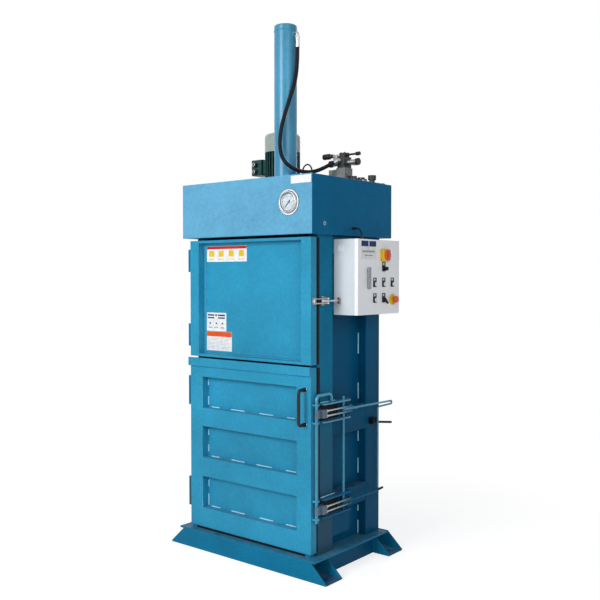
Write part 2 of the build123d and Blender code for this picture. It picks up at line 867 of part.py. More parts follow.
def head_cover():
    """Folded sheet cover, open below, cut for the cylinder, tank, gauge, hoses and cable."""
    half = cover_half_width
    y = (cover_front, cover_back)
    cover = block((-half, half), y, (chamber_top, cover_top))
    inner_y = (y[0] + cover_sheet, y[1] - cover_sheet)
    inner_top = cover_top - cover_sheet
    cover -= block((-half + cover_sheet, half - cover_sheet), inner_y, (chamber_top, inner_top))
    top = (inner_top, cover_top)
    cover -= upright(0, cylinder_y, top, barrel_radius + 3)
    tank_x = tank_half_width - tank_wall
    cover -= block((-tank_x, tank_x), (tank_front + tank_wall, tank_back - tank_wall), top)
    cover -= along_y(gauge_x, (y[0], inner_y[0]), gauge_z, gauge_case_radius + 1)
    for point in (gauge_line_route[0], gauge_line_route[-1]):
        cover -= upright(point[0], point[1], top, gauge_line_diameter / 2 + 1)
    for hole_y, hole_z in cover_holes:
        cover -= along_x((-half, half), hole_y, hole_z, cover_hole_radius)
    cable = box_cable_route[0]
    cover -= along_x((half - cover_sheet, half), cable[1], cable[2], box_cable_diameter / 2 + 1)
    pipe = pipe_points()[4]
    return cover - upright(pipe[0], pipe[1], top, 11)


def cylinder_barrel():
    """Barrel with its foot flange, closed top end and the boss of the upper port."""
    top = cylinder_top
    flange_top = tray_top + cylinder_flange_thickness
    points = [
        (bore_radius, tray_top), (cylinder_flange_radius, tray_top), (cylinder_flange_radius, flange_top),
        (barrel_radius, flange_top), (barrel_radius, top - 4), (barrel_radius - 4, top), (0, top),
        (0, top - cylinder_end_wall), (bore_radius, top - cylinder_end_wall),
    ]
    barrel = revolve(Plane.XZ * Polygon(*points, align=None), Axis.Z)
    barrel = Pos(0, cylinder_y, 0) * barrel
    boss_x = (barrel_radius - 6, barrel_radius + port_boss)
    barrel += along_x(boss_x, cylinder_y, upper_port_height(), 16)
    lower = pipe_points()[0]
    return barrel + along_x(boss_x, cylinder_y, lower[2], 14)


def upper_port_height():
    """Height of the upper port's axis."""
    return cylinder_top - upper_port_drop


def cylinder_gland():
    """Ring that guides the rod, at the barrel's lower end."""
    z = (tray_top, tray_top + gland_height)
    ring = upright(0, cylinder_y, z, bore_radius - sliding_play)
    return ring - upright(0, cylinder_y, z, rod_radius + sliding_play)


def piston():
    """Piston with two seal grooves."""
    high = cylinder_top - cylinder_end_wall - piston_top_gap
    z = (high - piston_height, high)
    body = upright(0, cylinder_y, z, bore_radius - sliding_play)
    for height in (z[0] + 14, z[1] - 14):
        groove = upright(0, cylinder_y, (height - 3, height + 3), bore_radius)
        body -= groove - upright(0, cylinder_y, (height - 3, height + 3), bore_radius - 5)
    return body


def platen_top():
    """Height of the platen's upper face at rest."""
    return platen_bottom + platen_rib_height + platen_plate + platen_frame_height


def piston_rod():
    """Rod from the platen's socket up to the piston."""
    high = cylinder_top - cylinder_end_wall - piston_top_gap - piston_height
    return upright(0, cylinder_y, (platen_top(), high), rod_radius)


def platen():
    """Press plate: plate, strap bars under it, and a frame of crossed ribs above."""
    half = inner_half_width - platen_play
    y = (body_front + platen_play, rear_wall_y - platen_play)
    plate_low = platen_bottom + platen_rib_height
    plate_z = (plate_low, plate_low + platen_plate)
    frame_z = (plate_z[1], platen_top())
    plate = block((-half, half), y, plate_z)
    for bar in strap_ribs(half, y, (platen_bottom, plate_low)):
        plate += bar
    rib = 12
    for x in (-half, -half / 2 - rib / 2, half / 2 - rib / 2, half - rib):
        plate += block((x, x + rib), y, frame_z)
    for low in (y[0], y[1] - rib):
        plate += block((-half, half), (low, low + rib), frame_z)
    for offset in (-rod_radius - rib, rod_radius):
        low = cylinder_y + offset
        plate += block((-half, half), (low, low + rib), frame_z)
    top_z = (frame_z[1] - 14, frame_z[1])
    return plate + upright(0, cylinder_y, top_z, rod_radius + 40) + upright(0, cylinder_y, frame_z, rod_radius + 12)


def oil_tank():
    """Open-topped tank inside the cover, under the lid."""
    x = (-tank_half_width, tank_half_width)
    y = (tank_front, tank_back)
    z = (tray_top, cover_top - cover_sheet)
    inner_x = (x[0] + tank_wall, x[1] - tank_wall)
    inner_y = (y[0] + tank_wall, y[1] - tank_wall)
    return block(x, y, z) - block(inner_x, inner_y, (z[0] + tank_wall, z[1]))


def tank_lid():
    """Thick lid over the tank, with the hole that the pump hangs through."""
    x = (-tank_half_width - lid_overhang, tank_half_width + lid_overhang)
    y = (tank_front - lid_overhang, tank_back + lid_overhang)
    lid = block(x, y, (cover_top, lid_top))
    return lid - upright(motor_x, motor_y, (cover_top, lid_top), bell_spigot_radius + 1)


def tank_breather():
    """Filler breather and return filter head at the lid's right end."""
    neck_top = lid_top + 12
    breather = upright(*breather_place, (lid_top, neck_top), breather_radius - 7)
    breather += upright(*breather_place, (neck_top, neck_top + 26), breather_radius)
    head_top = lid_top + 22
    filter_head = upright(*filter_place, (lid_top, head_top), filter_radius)
    filter_head += hexagon_upright(*filter_place, (head_top, head_top + 10), filter_radius - 10)
    return [breather, filter_head]


def motor_body():
    """Finned housing of the flange motor, with its end flange and the neck of the terminal box."""
    base = lid_top
    body_low = base + motor_flange_height
    section = Circle(motor_core_radius)
    height = (motor_radius - motor_core_radius) + 4
    for index in range(fin_count):
        angle = 360 * index / fin_count
        fin = Pos(motor_core_radius - 4 + height / 2, 0) * Rectangle(height, fin_thickness)
        section += Rot(0, 0, angle) * fin
    body = Pos(motor_x, motor_y, body_low) * extrude(section, amount=motor_body_height)
    body += upright(motor_x, motor_y, (base, body_low), motor_radius)
    neck_x = (motor_x - motor_radius - 22, motor_x - motor_core_radius + 6)
    body += block(neck_x, (motor_y - 36, motor_y + 36), (lid_top + 98, lid_top + 184))
    return body - upright(motor_x, motor_y, (base, body_low + motor_body_height), shaft_radius + sliding_play)


def cowl_levels():
    """Bottom and top of the fan cowl."""
    low = lid_top + motor_flange_height + motor_body_height
    return low, low + cowl_height


def motor_cowl():
    """Fan cowl with a rounded crown and rings of air slots."""
    low, high = cowl_levels()
    outer = upright(motor_x, motor_y, (low, high), motor_radius)
    outer = fillet(outer.edges().sort_by(Axis.Z)[-1], 22)
    inner = upright(motor_x, motor_y, (low, high - cowl_wall), motor_radius - cowl_wall)
    cowl = outer - chamfer(inner.edges().sort_by(Axis.Z)[-1], 14)
    crown = (high - 2 * cowl_wall, high)
    for start, end, count in ((20, 44, 8), (52, 78, 16)):
        for index in range(count):
            angle = 360 * index / count
            slot = block((start, end), (-4, 4), crown)
            cowl -= Pos(motor_x, motor_y, 0) * Rot(0, 0, angle) * slot
    return cowl


def motor_terminal_box():
    """Terminal box on the motor's left, with two cable glands towards the front."""
    x = (motor_x - motor_radius - 102, motor_x - motor_radius - 22)
    y = (motor_y - 50, motor_y + 50)
    z = (lid_top + 92, lid_top + 190)
    box = block(x, y, z)
    box = fillet(box.edges().filter_by(Axis.X), 8)
    box += block((x[0] - 3, x[0]), (y[0] + 5, y[1] - 5), (z[0] + 5, z[1] - 5))
    for height in (z[0] + 24, z[0] + 66):
        box += along_y(x[0] + 32, (y[0] - 14, y[0]), height, 15)
    return box


def motor_rotor():
    """Shaft through the motor with the fan under the cowl."""
    low, high = cowl_levels()
    rotor = upright(motor_x, motor_y, (cover_top - 40, low + 60), shaft_radius)
    fan_z = (low + 22, low + 68)
    rotor += upright(motor_x, motor_y, (fan_z[0], fan_z[0] + 4), fan_radius)
    rotor += upright(motor_x, motor_y, fan_z, 24)
    for index in range(fan_blades):
        blade = block((20, fan_radius - 4), (-1.5, 1.5), (fan_z[0] + 2, fan_z[1]))
        rotor += Pos(motor_x, motor_y, 0) * Rot(0, 0, 360 * index / fan_blades) * blade
    return rotor


def pump():
    """Bell housing and gear pump that hang from the lid in the oil, with the suction pipe."""
    bell_end = cover_top - bell_length
    pump_end = bell_end - pump_length
    neck = upright(motor_x, motor_y, (bell_end, cover_top), bell_radius)
    neck += upright(motor_x, motor_y, (cover_top - bell_spigot_depth, lid_top), bell_spigot_radius)
    x = (motor_x - pump_half_width, motor_x + pump_half_width)
    y = (motor_y - pump_half_depth, motor_y + pump_half_depth)
    neck += block(x, y, (pump_end, bell_end))
    neck += upright(motor_x, motor_y + suction_pipe_offset, (tray_top + 30, pump_end), suction_pipe_radius)
    return neck - upright(motor_x, motor_y, (cover_top - 2 * bell_length / 3, lid_top), shaft_radius + 8)


def valve_manifold():
    """Light block on the lid that the valves are stacked on, with blanked ports."""
    half = manifold_width / 2
    x = (manifold_x - half, manifold_x + half)
    y = (manifold_front, manifold_front + manifold_depth)
    z = (lid_top, lid_top + manifold_height)
    manifold = chamfer(block(x, y, z).edges().filter_by(Axis.Z), 2)
    for height in (z[0] + 24, z[0] + 60):
        manifold += along_x((x[1], x[1] + 6), manifold_front + 24, height, 11)
    return manifold


def stack_heights():
    """Bottom of the port block, of the directional valve and of the top plate."""
    port = lid_top + manifold_height
    return port, port + port_block_height, port + port_block_height + valve_height


def directional_valve():
    """Port block, directional valve and the relief valve with its adjusting spindle."""
    port_low, valve_low, valve_high = stack_heights()
    x = (manifold_x - 24, manifold_x + 24)
    y = (manifold_front + 4, manifold_front + manifold_depth - 4)
    port_block = block(x, y, (port_low, valve_low))
    valve = fillet(block(x, y, (valve_low, valve_high)).edges().filter_by(Axis.Y), 6)
    relief = block((x[0] + 4, x[1] - 4), (y[0] + 14, y[1] - 14), (valve_high, valve_high + 22))
    middle = (y[0] + y[1]) / 2
    height = valve_high + 11
    relief += along_x((x[1] - 4, x[1] + 60), middle, height, 6)
    relief += along_x((x[1] + 60, x[1] + 84), middle, height, 11)
    relief += along_x((x[1] - 4, x[1] + 8), middle, height, 10)
    return [port_block, valve, relief]


def solenoids():
    """Two coils on the valve's ends with their end nuts and connector plugs."""
    _, valve_low, _ = stack_heights()
    axis_z = valve_low + solenoid_radius + 2
    middle = manifold_front + manifold_depth / 2
    made = []
    for side in (-1, 1):
        near = manifold_x + side * 24
        far = near + side * solenoid_length
        end = far + side * 16
        coil = along_x(sorted((near, far)), middle, axis_z, solenoid_radius)
        coil += along_x(sorted((far, end)), middle, axis_z, solenoid_radius + 4)
        plug_x = sorted((near + side * 16, near + side * 46))
        if side < 0:
            coil += block(plug_x, (middle - 14, middle + 14), (axis_z + 10, axis_z + 48))
        else:
            coil += block(plug_x, (middle + 10, middle + 44), (axis_z - 14, axis_z + 14))
        made.append(coil)
    return made


def hose_fittings():
    """Elbow and ferrule of the upper port, and the straight fitting on the port block."""
    height = upper_port_height()
    drop_x = barrel_radius + elbow_reach
    low = height - elbow_drop
    path = [(barrel_radius + port_boss, cylinder_y, height), (drop_x, cylinder_y, height),
            (drop_x, cylinder_y, low + ferrule_length - 4)]
    elbow = bent_bar(path, 13, 10)
    elbow += upright(drop_x, cylinder_y, (low, low + ferrule_length), main_hose_diameter / 2 + 1.5)
    nut_low = low + ferrule_length
    elbow += hexagon_upright(drop_x, cylinder_y, (nut_low, nut_low + 12), 15)
    before, end = (Vector(*point) for point in main_hose_route[-2:])
    direction = (end - before).normalized()
    corner = end + direction * 28
    port_y = manifold_front + 4
    bend_points = [tuple(end), tuple(corner), (corner.X, port_y, corner.Z)]
    angled = bent_bar(bend_points, 10, main_hose_diameter / 2 - 2)
    angled += straight_bar(end, end + direction * 18, main_hose_diameter / 2 + 1.5)
    nut = Rot(90, 0, 0) * extrude(RegularPolygon(14, 6), amount=9)
    angled += Pos(corner.X, port_y, corner.Z) * nut
    return [elbow, angled]


def pipe_points():
    """Route of the steel pipe from the lower port, up through the cover and to the manifold."""
    low = tray_top + gland_height + 18
    middle = tray_top + beam_height + 70
    high = lid_top + 18
    x = 150
    out_y = manifold_front - 65
    return [
        (barrel_radius + port_boss, cylinder_y, low), (x, cylinder_y, low), (x, cylinder_y, middle),
        (manifold_x, out_y, middle), (manifold_x, out_y, high), (manifold_x, manifold_front, high),
    ]


def lower_port_pipe():
    """Steel pipe that feeds the rod side of the cylinder."""
    return bent_bar(pipe_points(), 30, 8)


def gauge_case():
    """Flange and case of the gauge, with the dial plate in it."""
    front = cover_front - gauge_proud
    flange = along_y(gauge_x, (cover_front - 3, cover_front), gauge_z, gauge_flange_radius)
    ring = along_y(gauge_x, (front, cover_front), gauge_z, gauge_case_radius + 6)
    case = along_y(gauge_x, (cover_front, cover_front + gauge_case_depth), gauge_z, gauge_case_radius)
    body = flange + ring + case
    body += along_y(gauge_x, (cover_front + gauge_case_depth, cover_front + gauge_case_depth + 22), gauge_z - 12, 9)
    body -= along_y(gauge_x, (front, cover_front + 4), gauge_z, gauge_case_radius - 2)
    pin = along_y(gauge_x, (cover_front - 5, cover_front + 4), gauge_z, 2)
    dial = along_y(gauge_x, (cover_front + 1, cover_front + 4), gauge_z, gauge_case_radius - 2)
    return [body + dial + pin]


def gauge_needle():
    """Pointer with its hub; at rest it points to the lower left."""
    y = (cover_front - 3, cover_front - 1.5)
    points = [(-needle_length, -0.8), (-needle_length, 0.8), (12, 3), (12, -3)]
    pointer = prism_xz(points, y) + along_y(0, y, 0, 5)
    pointer -= along_y(0, y, 0, 2.05)
    return Pos(gauge_x, 0, gauge_z) * Rot(0, -45, 0) * pointer


def control_box():
    """Sheet enclosure on the side posts, open to the right, with its hinge barrels."""
    x = (box_back_x, box_rim_x)
    y = (box_front_y, box_rear_y)
    z = (box_bottom, box_top)
    shell = block(x, y, z)
    wall = box_sheet
    shell -= block((x[0] + wall, x[1]), (y[0] + wall, y[1] - wall), (z[0] + wall, z[1] - wall))
    for height in box_hinge_heights():
        shell += box_knuckle(height, (0.34, 0.66), (box_rim_x - 18, box_hinge_axis()[0]))
    return shell


def box_hinge_axis():
    """Place of the enclosure door's hinge axis in X and Y."""
    return box_rim_x + 8, box_rear_y + box_hinge_radius + 0.5


def box_hinge_heights():
    """Middle heights of the two hinges."""
    return box_bottom + 80, box_top - 82


def box_knuckle(height, share, leaf_x):
    """One barrel of the enclosure's hinge with its leaf."""
    x, y = box_hinge_axis()
    low = height - box_hinge_height / 2 + share[0] * box_hinge_height
    high = height - box_hinge_height / 2 + share[1] * box_hinge_height
    barrel = upright(x, y, (low, high), box_hinge_radius)
    return barrel + block(leaf_x, (box_rear_y, y), (low, high))


def box_door():
    """Folded lid of the enclosure, with the end barrels of its hinges."""
    x = (box_rim_x + box_door_gap, box_face_x)
    y = (box_front_y, box_rear_y)
    z = (box_bottom, box_top)
    wall = box_sheet
    lid = fillet(block(x, y, z).faces().sort_by(Axis.X)[-1].edges(), 1.5)
    lid -= block((x[0], x[1] - wall), (y[0] + wall, y[1] - wall), (z[0] + wall, z[1] - wall))
    axis_x = box_hinge_axis()[0]
    for height in box_hinge_heights():
        for share in ((0.0, 0.32), (0.68, 1.0)):
            lid += box_knuckle(height, share, (axis_x, box_face_x - 2))
    return lid


def panel_electrics():
    """Mounting plate in the enclosure with rails, contactors, breaker, terminals and ducts."""
    x = box_back_x + box_sheet
    middle_y = box_middle_y
    middle_z = (box_bottom + box_top) / 2
    reach = box_size / 2 - 24
    stand = block((x, x + 12), (middle_y - 12, middle_y + 12), (middle_z - 12, middle_z + 12))
    plate = block((x + 12, x + 14), (middle_y - reach, middle_y + reach), (middle_z - reach, middle_z + reach))
    plate += stand
    face = x + 14
    made = []
    for height in (middle_z + 92, middle_z - 20):
        plate += block((face, face + 8), (middle_y - reach + 12, middle_y + reach - 12), (height - 17, height + 17))
    for height in (middle_z + 148, middle_z + 36, middle_z - 76):
        plate += block((face, face + 50), (middle_y - reach + 6, middle_y + reach - 6), (height - 14, height + 14))
    made.append(plate)
    for offset in (-130, -76, -22):
        y = middle_y + offset
        made.append(block((face + 8, face + 76), (y - 22, y + 22), (middle_z + 58, middle_z + 128)))
    made.append(block((face + 8, face + 70), (middle_y + 26, middle_y + 92), (middle_z + 56, middle_z + 130)))
    made.append(block((face + 8, face + 60), (middle_y - 130, middle_y + 130), (middle_z - 46, middle_z + 4)))
    return made


def bezel(y, z):
    """Front ring of one device with the legend holder over it and the contact block behind."""
    x = box_face_x
    legend = block((x, x + legend_thickness), (y - legend_width / 2, y + legend_width / 2), (z - 15, z + legend_height - 15))
    ring = along_x((x, x + bezel_height), y, z, bezel_radius)
    ring += legend
    return ring - along_x((x + legend_thickness, x + bezel_height), y, z, button_radius + button_play)


def device_places():
    """The six places of the two lower rows, by row and column."""
    return [(y, z) for z in device_rows for y in device_columns]


def control_fronts():
    """Rings and legend holders of the buttons, the selector and the key switch."""
    made = []
    for y, z in device_places()[:5]:
        made.append(bezel(y, z))
    y = device_columns[1]
    key = bezel(y, key_switch_z) + along_x((box_face_x + legend_thickness, box_face_x + 14), y, key_switch_z, 9)
    key -= block((box_face_x + 9, box_face_x + 14), (y - 1, y + 1), (key_switch_z - 5, key_switch_z + 5))
    made.append(key)
    inner = box_face_x - box_sheet
    for y, z in device_places() + [(device_columns[1], key_switch_z)]:
        made.append(block((inner - 42, inner), (y - 15, y + 15), (z - 18, z + 18)))
    return made


def yellow_plates():
    """Square plate of the main switch and round plate of the emergency stop."""
    x = box_face_x
    y = device_columns[1]
    square = block((x, x + 6), (y - 33, y + 33), (main_switch_z - 33, main_switch_z + 33))
    square = fillet(square.edges().filter_by(Axis.X), 6)
    stop_y, stop_z = device_places()[5]
    disc = along_x((x, x + 3), stop_y, stop_z, 30)
    disc += along_x((x + 3, x + 12), stop_y, stop_z, 14)
    return [square, disc - along_x((x + 3, x + 12), stop_y, stop_z, 10.3)]


def push_button(y, z):
    """Cap of one push button."""
    low = box_face_x + legend_thickness + button_travel + 0.5
    cap = along_x((low, box_face_x + bezel_height + 4), y, z, button_radius)
    return cap


def selector_lever():
    """Short lever of the selector; it points to the lower right."""
    y, z = device_places()[4]
    x = box_face_x + legend_thickness + 0.3
    hub = along_x((x, box_face_x + bezel_height + 6), y, z, button_radius)
    arm = block((box_face_x + bezel_height + 1, box_face_x + bezel_height + 12), (-6, 30), (-4, 4))
    return hub + Pos(0, y, z) * Rot(-40, 0, 0) * arm


def main_switch_knob():
    """Round knob of the main switch with a raised grip bar."""
    x = box_face_x + 6.3
    y = device_columns[1]
    knob = along_x((x, x + 16), y, main_switch_z, 27)
    grip = block((x + 16, x + 34), (y - 9, y + 9), (main_switch_z - 27, main_switch_z + 27))
    grip = grip & along_x((x + 16, x + 34), y, main_switch_z, 27)
    return knob + chamfer(grip.faces().sort_by(Axis.X)[-1].edges(), 2)


def e_stop_button():
    """Mushroom head of the emergency stop on its stem."""
    y, z = device_places()[5]
    x = box_face_x
    profile = Plane.XZ * Polygon(
        (0, x + 18), (18, x + 18), (20, x + 22), (20, x + 28), (17, x + 34), (10, x + 37.5), (0, x + 38.5),
        align=None)
    head = revolve(profile, Axis.Z)
    head = Pos(0, y, z) * Rot(0, 90, 0) * head
    return head + along_x((x + 8, x + 18.5), y, z, 10)


def box_lock_handle():
    """Flat swing handle of the enclosure's lock."""
    x = box_face_x + 0.4
    z = (box_lock_z - 58, box_lock_z + 58)
    handle = block((x + 8, x + 15), (box_lock_y - 10, box_lock_y + 10), z)
    handle = fillet(handle.edges().filter_by(Axis.X), 6)
    return handle + along_x((x, x + 8), box_lock_y, box_lock_z + 40, 9)


def cable_glands():
    """Glands of the box cable at both ends, and the two grommets of the gauge line."""
    start = box_cable_route[0]
    end = box_cable_route[-1]
    radius = box_cable_diameter / 2 + 4
    made = [along_x((cover_half_width, start[0]), start[1], start[2], radius)]
    gland = upright(end[0], end[1], (box_top, end[2]), radius)
    made.append(gland + hexagon_upright(end[0], end[1], (box_top, box_top + 9), radius + 3))
    for point in (gauge_line_route[0], gauge_line_route[-1]):
        made.append(upright(point[0], point[1], (cover_top, point[2]), gauge_line_diameter / 2 + 5))
    return made


def fasteners():
    """Hexagon heads of the cylinder flange and of the tank lid."""
    made = []
    flange_top = tray_top + cylinder_flange_thickness
    for index in range(8):
        angle = math.radians(45 * index + 22.5)
        x = (cylinder_flange_radius - 14) * math.cos(angle)
        y = cylinder_y + (cylinder_flange_radius - 14) * math.sin(angle)
        made.append(hexagon_upright(x, y, (flange_top, flange_top + 12), 11))
    for x in (-tank_half_width, 0, tank_half_width):
        for y in (tank_front, tank_back):
            made.append(hexagon_upright(x, y, (lid_top, lid_top + 5), 7))
    return made


node("base_frame", *feet(), *side_beams())
node("base_plate", base_plate())
node("chamber_floor", chamber_floor())
node("chamber_walls", *chamber_walls())
node("corner_posts", *corner_posts())
node("wall_ribs", *wall_ribs())
node("door_hinges", *door_hinges())
node("lower_door", lower_door())
node("upper_door", upper_door())
node("door_handle", door_handle())
node("catch_bar", catch_bar(), *catch_lugs())
node("lock_brackets", *lock_brackets(), pivot_rod())
node("lock_lever", lock_lever())
node("lever_grip", *lever_grip())
node("lever_rest", lever_rest())
node("lock_hooks", *lock_hooks())
node("latch_base", latch_base())
node("latch_lever", latch_lever())
node("latch_bail", latch_bail())
node("latch_keeper", latch_keeper())
node("head_frame", *head_frame())
node("head_cover", head_cover())
node("cylinder_barrel", cylinder_barrel())
node("cylinder_gland", cylinder_gland())
node("piston", piston())
node("piston_rod", piston_rod())
node("platen", platen())
node("oil_tank", oil_tank())
node("tank_lid", tank_lid())
node("tank_breather", *tank_breather())
node("motor_body", motor_body())
node("motor_cowl", motor_cowl())
node("motor_terminal_box", motor_terminal_box())
node("motor_rotor", motor_rotor())
node("pump", pump())
node("valve_manifold", valve_manifold())
node("directional_valve", *directional_valve())
node("solenoids", *solenoids())
node("hose_fittings", *hose_fittings())
node("lower_port_pipe", lower_port_pipe())
node("gauge_case", *gauge_case())
node("gauge_needle", gauge_needle())
node("control_box", control_box())
node("box_door", box_door())
node("panel_electrics", *panel_electrics())
node("control_fronts", *control_fronts())
node("yellow_plates", *yellow_plates())
node("selector_lever", selector_lever())
node("main_switch_knob", main_switch_knob())
node("e_stop_button", e_stop_button())
node("box_lock_handle", box_lock_handle())
node("cable_glands", *cable_glands())
node("fasteners", *fasteners())
for number, (place_y, place_z) in enumerate(device_places()[:4], start=1):
    node(f"push_button_{number}", push_button(place_y, place_z))
node("main_hose", cord("main_hose", main_hose_route, main_hose_diameter))
node("gauge_line", cord("gauge_line", gauge_line_route, gauge_line_diameter))
node("box_cable", cord("box_cable", box_cable_route, box_cable_diameter))

os.makedirs("parts", exist_ok=True)
for name, solids in nodes.items():
    shape = solids[0] if len(solids) == 1 else Compound(children=solids)
    export_step(shape, f"parts/{name}.step")
print(len(nodes), "nodes")
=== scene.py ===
import json
import math

import bmesh
import bpy
from mathutils import Matrix, Vector


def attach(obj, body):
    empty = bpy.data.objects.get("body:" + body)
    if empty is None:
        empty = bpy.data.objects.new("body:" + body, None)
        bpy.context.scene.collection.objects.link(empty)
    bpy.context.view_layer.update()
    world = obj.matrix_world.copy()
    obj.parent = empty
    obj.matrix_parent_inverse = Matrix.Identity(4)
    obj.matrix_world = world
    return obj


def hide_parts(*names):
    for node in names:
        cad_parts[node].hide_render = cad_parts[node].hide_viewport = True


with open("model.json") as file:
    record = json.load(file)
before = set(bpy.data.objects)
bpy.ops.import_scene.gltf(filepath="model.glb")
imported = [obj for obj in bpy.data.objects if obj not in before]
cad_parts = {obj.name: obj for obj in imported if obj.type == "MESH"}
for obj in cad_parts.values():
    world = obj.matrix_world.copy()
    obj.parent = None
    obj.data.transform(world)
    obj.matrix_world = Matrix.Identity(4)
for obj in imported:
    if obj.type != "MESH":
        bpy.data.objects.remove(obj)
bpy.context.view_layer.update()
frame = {"nodes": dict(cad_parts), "record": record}

MM = 0.001
NODES = frame["nodes"]
BODY_OF = {node: body for body, group in frame["record"]["behaviour"]["bodies"].items() for node in group}
SLOT_OF = {part["node"]: part["material_slot"] for part in frame["record"]["subparts"]}

# Camera, in metres and degrees: the photograph's standpoint
CAMERA_PLACE = (3.0456, -3.6147, 1.566)
CAMERA_TURN = 39.07
CAMERA_PITCH = -1.63
CAMERA_LENS = 49.1

# Paint and finish colours
PAINT_BLUE = (0.024, 0.272, 0.445)
# darker copy of the door paint, for the body and base: painted shade
SHADED_BODY_BLUE = (0.003, 0.158, 0.290)
# much darker copy of the door paint, for the side sheets, rear posts and ends of the feet: painted shade
SIDE_SHADE_BLUE = (0.001, 0.078, 0.172)
# darker copy of the paint, for the cover's ends and back and the lower lock bars: painted shade
HALF_SHADE_BLUE = (0.001, 0.130, 0.275)
# lighter copy of the door paint, for the cover: painted light
LIT_COVER_BLUE = (0.120, 0.365, 0.555)
CYLINDER_BLUE = (0.045, 0.270, 0.440)
ROD_BLUE = (0.020, 0.260, 0.420)
# pale blue of the weld beads: painted highlight
WELD_GLINT_BLUE = (0.330, 0.640, 0.760)
MOTOR_GREEN = (0.010, 0.060, 0.058)
COWL_GREY = (0.360, 0.430, 0.390)
BOX_GREY = (0.830, 0.850, 0.870)
# darker copy of the box's grey, for the box body: painted shade
SHADED_BOX_GREY = (0.600, 0.640, 0.670)
ZINC = (0.470, 0.480, 0.480)
STEEL = (0.400, 0.400, 0.390)
CHROME = (0.520, 0.535, 0.550)
CAST_GREY = (0.085, 0.140, 0.200)
CAST_BLACK = (0.018, 0.018, 0.020)
PLASTIC_BLACK = (0.012, 0.012, 0.013)
RUBBER_BLACK = (0.008, 0.009, 0.013)
RED = (0.560, 0.020, 0.012)
ORANGE = (0.720, 0.090, 0.012)
YELLOW = (0.760, 0.500, 0.020)
WHITE = (0.800, 0.800, 0.780)
ALUMINIUM = (0.520, 0.520, 0.510)
BLOCK_GREY = (0.200, 0.205, 0.200)
MAROON = (0.090, 0.008, 0.010)
FILM_WHITE = (0.780, 0.790, 0.800)
FILM_GREY = (0.330, 0.350, 0.370)
HANDLE_GREY = (0.330, 0.345, 0.360)
FILM_NAVY = (0.010, 0.030, 0.120)
FILM_CREAM = (0.700, 0.620, 0.330)
DIAL_WHITE = (0.620, 0.720, 0.790)
# dark colour mixed into the paint towards the floor: painted shade
LOW_SHADE_COLOUR = (0.035, 0.066, 0.098, 1)
DUST = (0.33, 0.34, 0.33, 1)

# Places used more than once, in millimetres
DOOR_FACE = -274  # front of the doors' middle sheets, along y
LOCK_HEIGHTS = (856, 356)  # hooks of the lock, along z
MOTOR = (-215, 232)  # shaft, along x and y
CYLINDER = (0, 6)  # rod, along x and y
GAUGE = (324, 1952)  # dial, along x and z
GLANDS = (2218, 2260)  # cable glands of the motor, along z
VALVE_MIDDLE = 225  # valve group, along y
COLUMNS = (31, 117, 203)  # devices of the control box, along y
ROWS = (1526, 1442)  # and along z
DEVICES = [(y, z) for z in ROWS for y in COLUMNS]
BUTTONS = DEVICES[:4]
STOP_BUTTON = DEVICES[5]
KEY_SWITCH = (117, 1610)  # along y and z
SWITCH = (117, 1683)  # main switch, along y and z


def deselect():
    """Start from nothing selected."""
    if bpy.context.object and bpy.context.object.mode != "OBJECT":
        bpy.ops.object.mode_set(mode="OBJECT")
    bpy.ops.object.select_all(action="DESELECT")


# Node groups

def new_group(name, inputs):
    """A node group that turns the named inputs, as (kind, name, value), into colour, roughness and height."""
    group = bpy.data.node_groups.new(name, "ShaderNodeTree")
    for kind, label, value in inputs:
        socket = group.interface.new_socket(label, in_out="INPUT", socket_type="NodeSocket" + kind)
        socket.default_value = value
    for kind, label in (("Color", "Color"), ("Float", "Roughness"), ("Float", "Height")):
        group.interface.new_socket(label, in_out="OUTPUT", socket_type="NodeSocket" + kind)
    entry = group.nodes.new("NodeGroupInput")
    leave = group.nodes.new("NodeGroupOutput")
    return group, entry.outputs, leave.inputs


def add(tree, kind, settings=None, **values):
    """A node with its settings and its sockets' values."""
    made = tree.nodes.new("ShaderNode" + kind)
    for name, value in (settings or {}).items():
        setattr(made, name, value)
    for name, value in values.items():
        made.inputs[name.replace("_", " ")].default_value = value
    return made


def feed(tree, sockets, values):
    """Link each socket to the other node's socket that is given for it, or set it to the plain value."""
    for socket, value in zip(sockets, values):
        if isinstance(value, bpy.types.NodeSocket):
            tree.links.new(value, socket)
        else:
            socket.default_value = value


def worked_out(tree, operation, *values):
    """The result of one sum on sockets or plain values."""
    made = add(tree, "Math", {"operation": operation})
    feed(tree, made.inputs, values)
    return made.outputs[0]


def noise(tree, place, scale, detail, roughness):
    """A noise pattern that lies on the piece."""
    made = add(tree, "TexNoise", Detail=detail, Roughness=roughness)
    feed(tree, (made.inputs["Vector"], made.inputs["Scale"]), (place, scale))
    return made.outputs["Fac"]


def toned(tree, colour, value, saturation=1.0, amount=1.0):
    """A colour made lighter or darker, and paler if asked; a part of the change may do."""
    made = add(tree, "HueSaturation")
    sockets = [made.inputs[label] for label in ("Color", "Value", "Saturation", "Fac")]
    feed(tree, sockets, (colour, value, saturation, amount))
    return made.outputs["Color"]


def mix_colour(tree, factor, first, second):
    """A colour mix; each of the three may be a socket or a value."""
    made = add(tree, "Mix", {"data_type": "RGBA"})
    feed(tree, (made.inputs[0], made.inputs[6], made.inputs[7]), (factor, first, second))
    return made.outputs[2]


def ramp(tree, source, low, high, low_value=0.0, high_value=1.0):
    """A value taken from one range to another, clamped."""
    made = add(tree, "MapRange", {"clamp": True})
    feed(tree, made.inputs[:5], (source, low, high, low_value, high_value))
    return made.outputs[0]


def upward_part(tree, vector):
    """How far a place lies or a direction points upwards."""
    made = add(tree, "SeparateXYZ")
    tree.links.new(vector, made.inputs[0])
    return made.outputs["Z"]


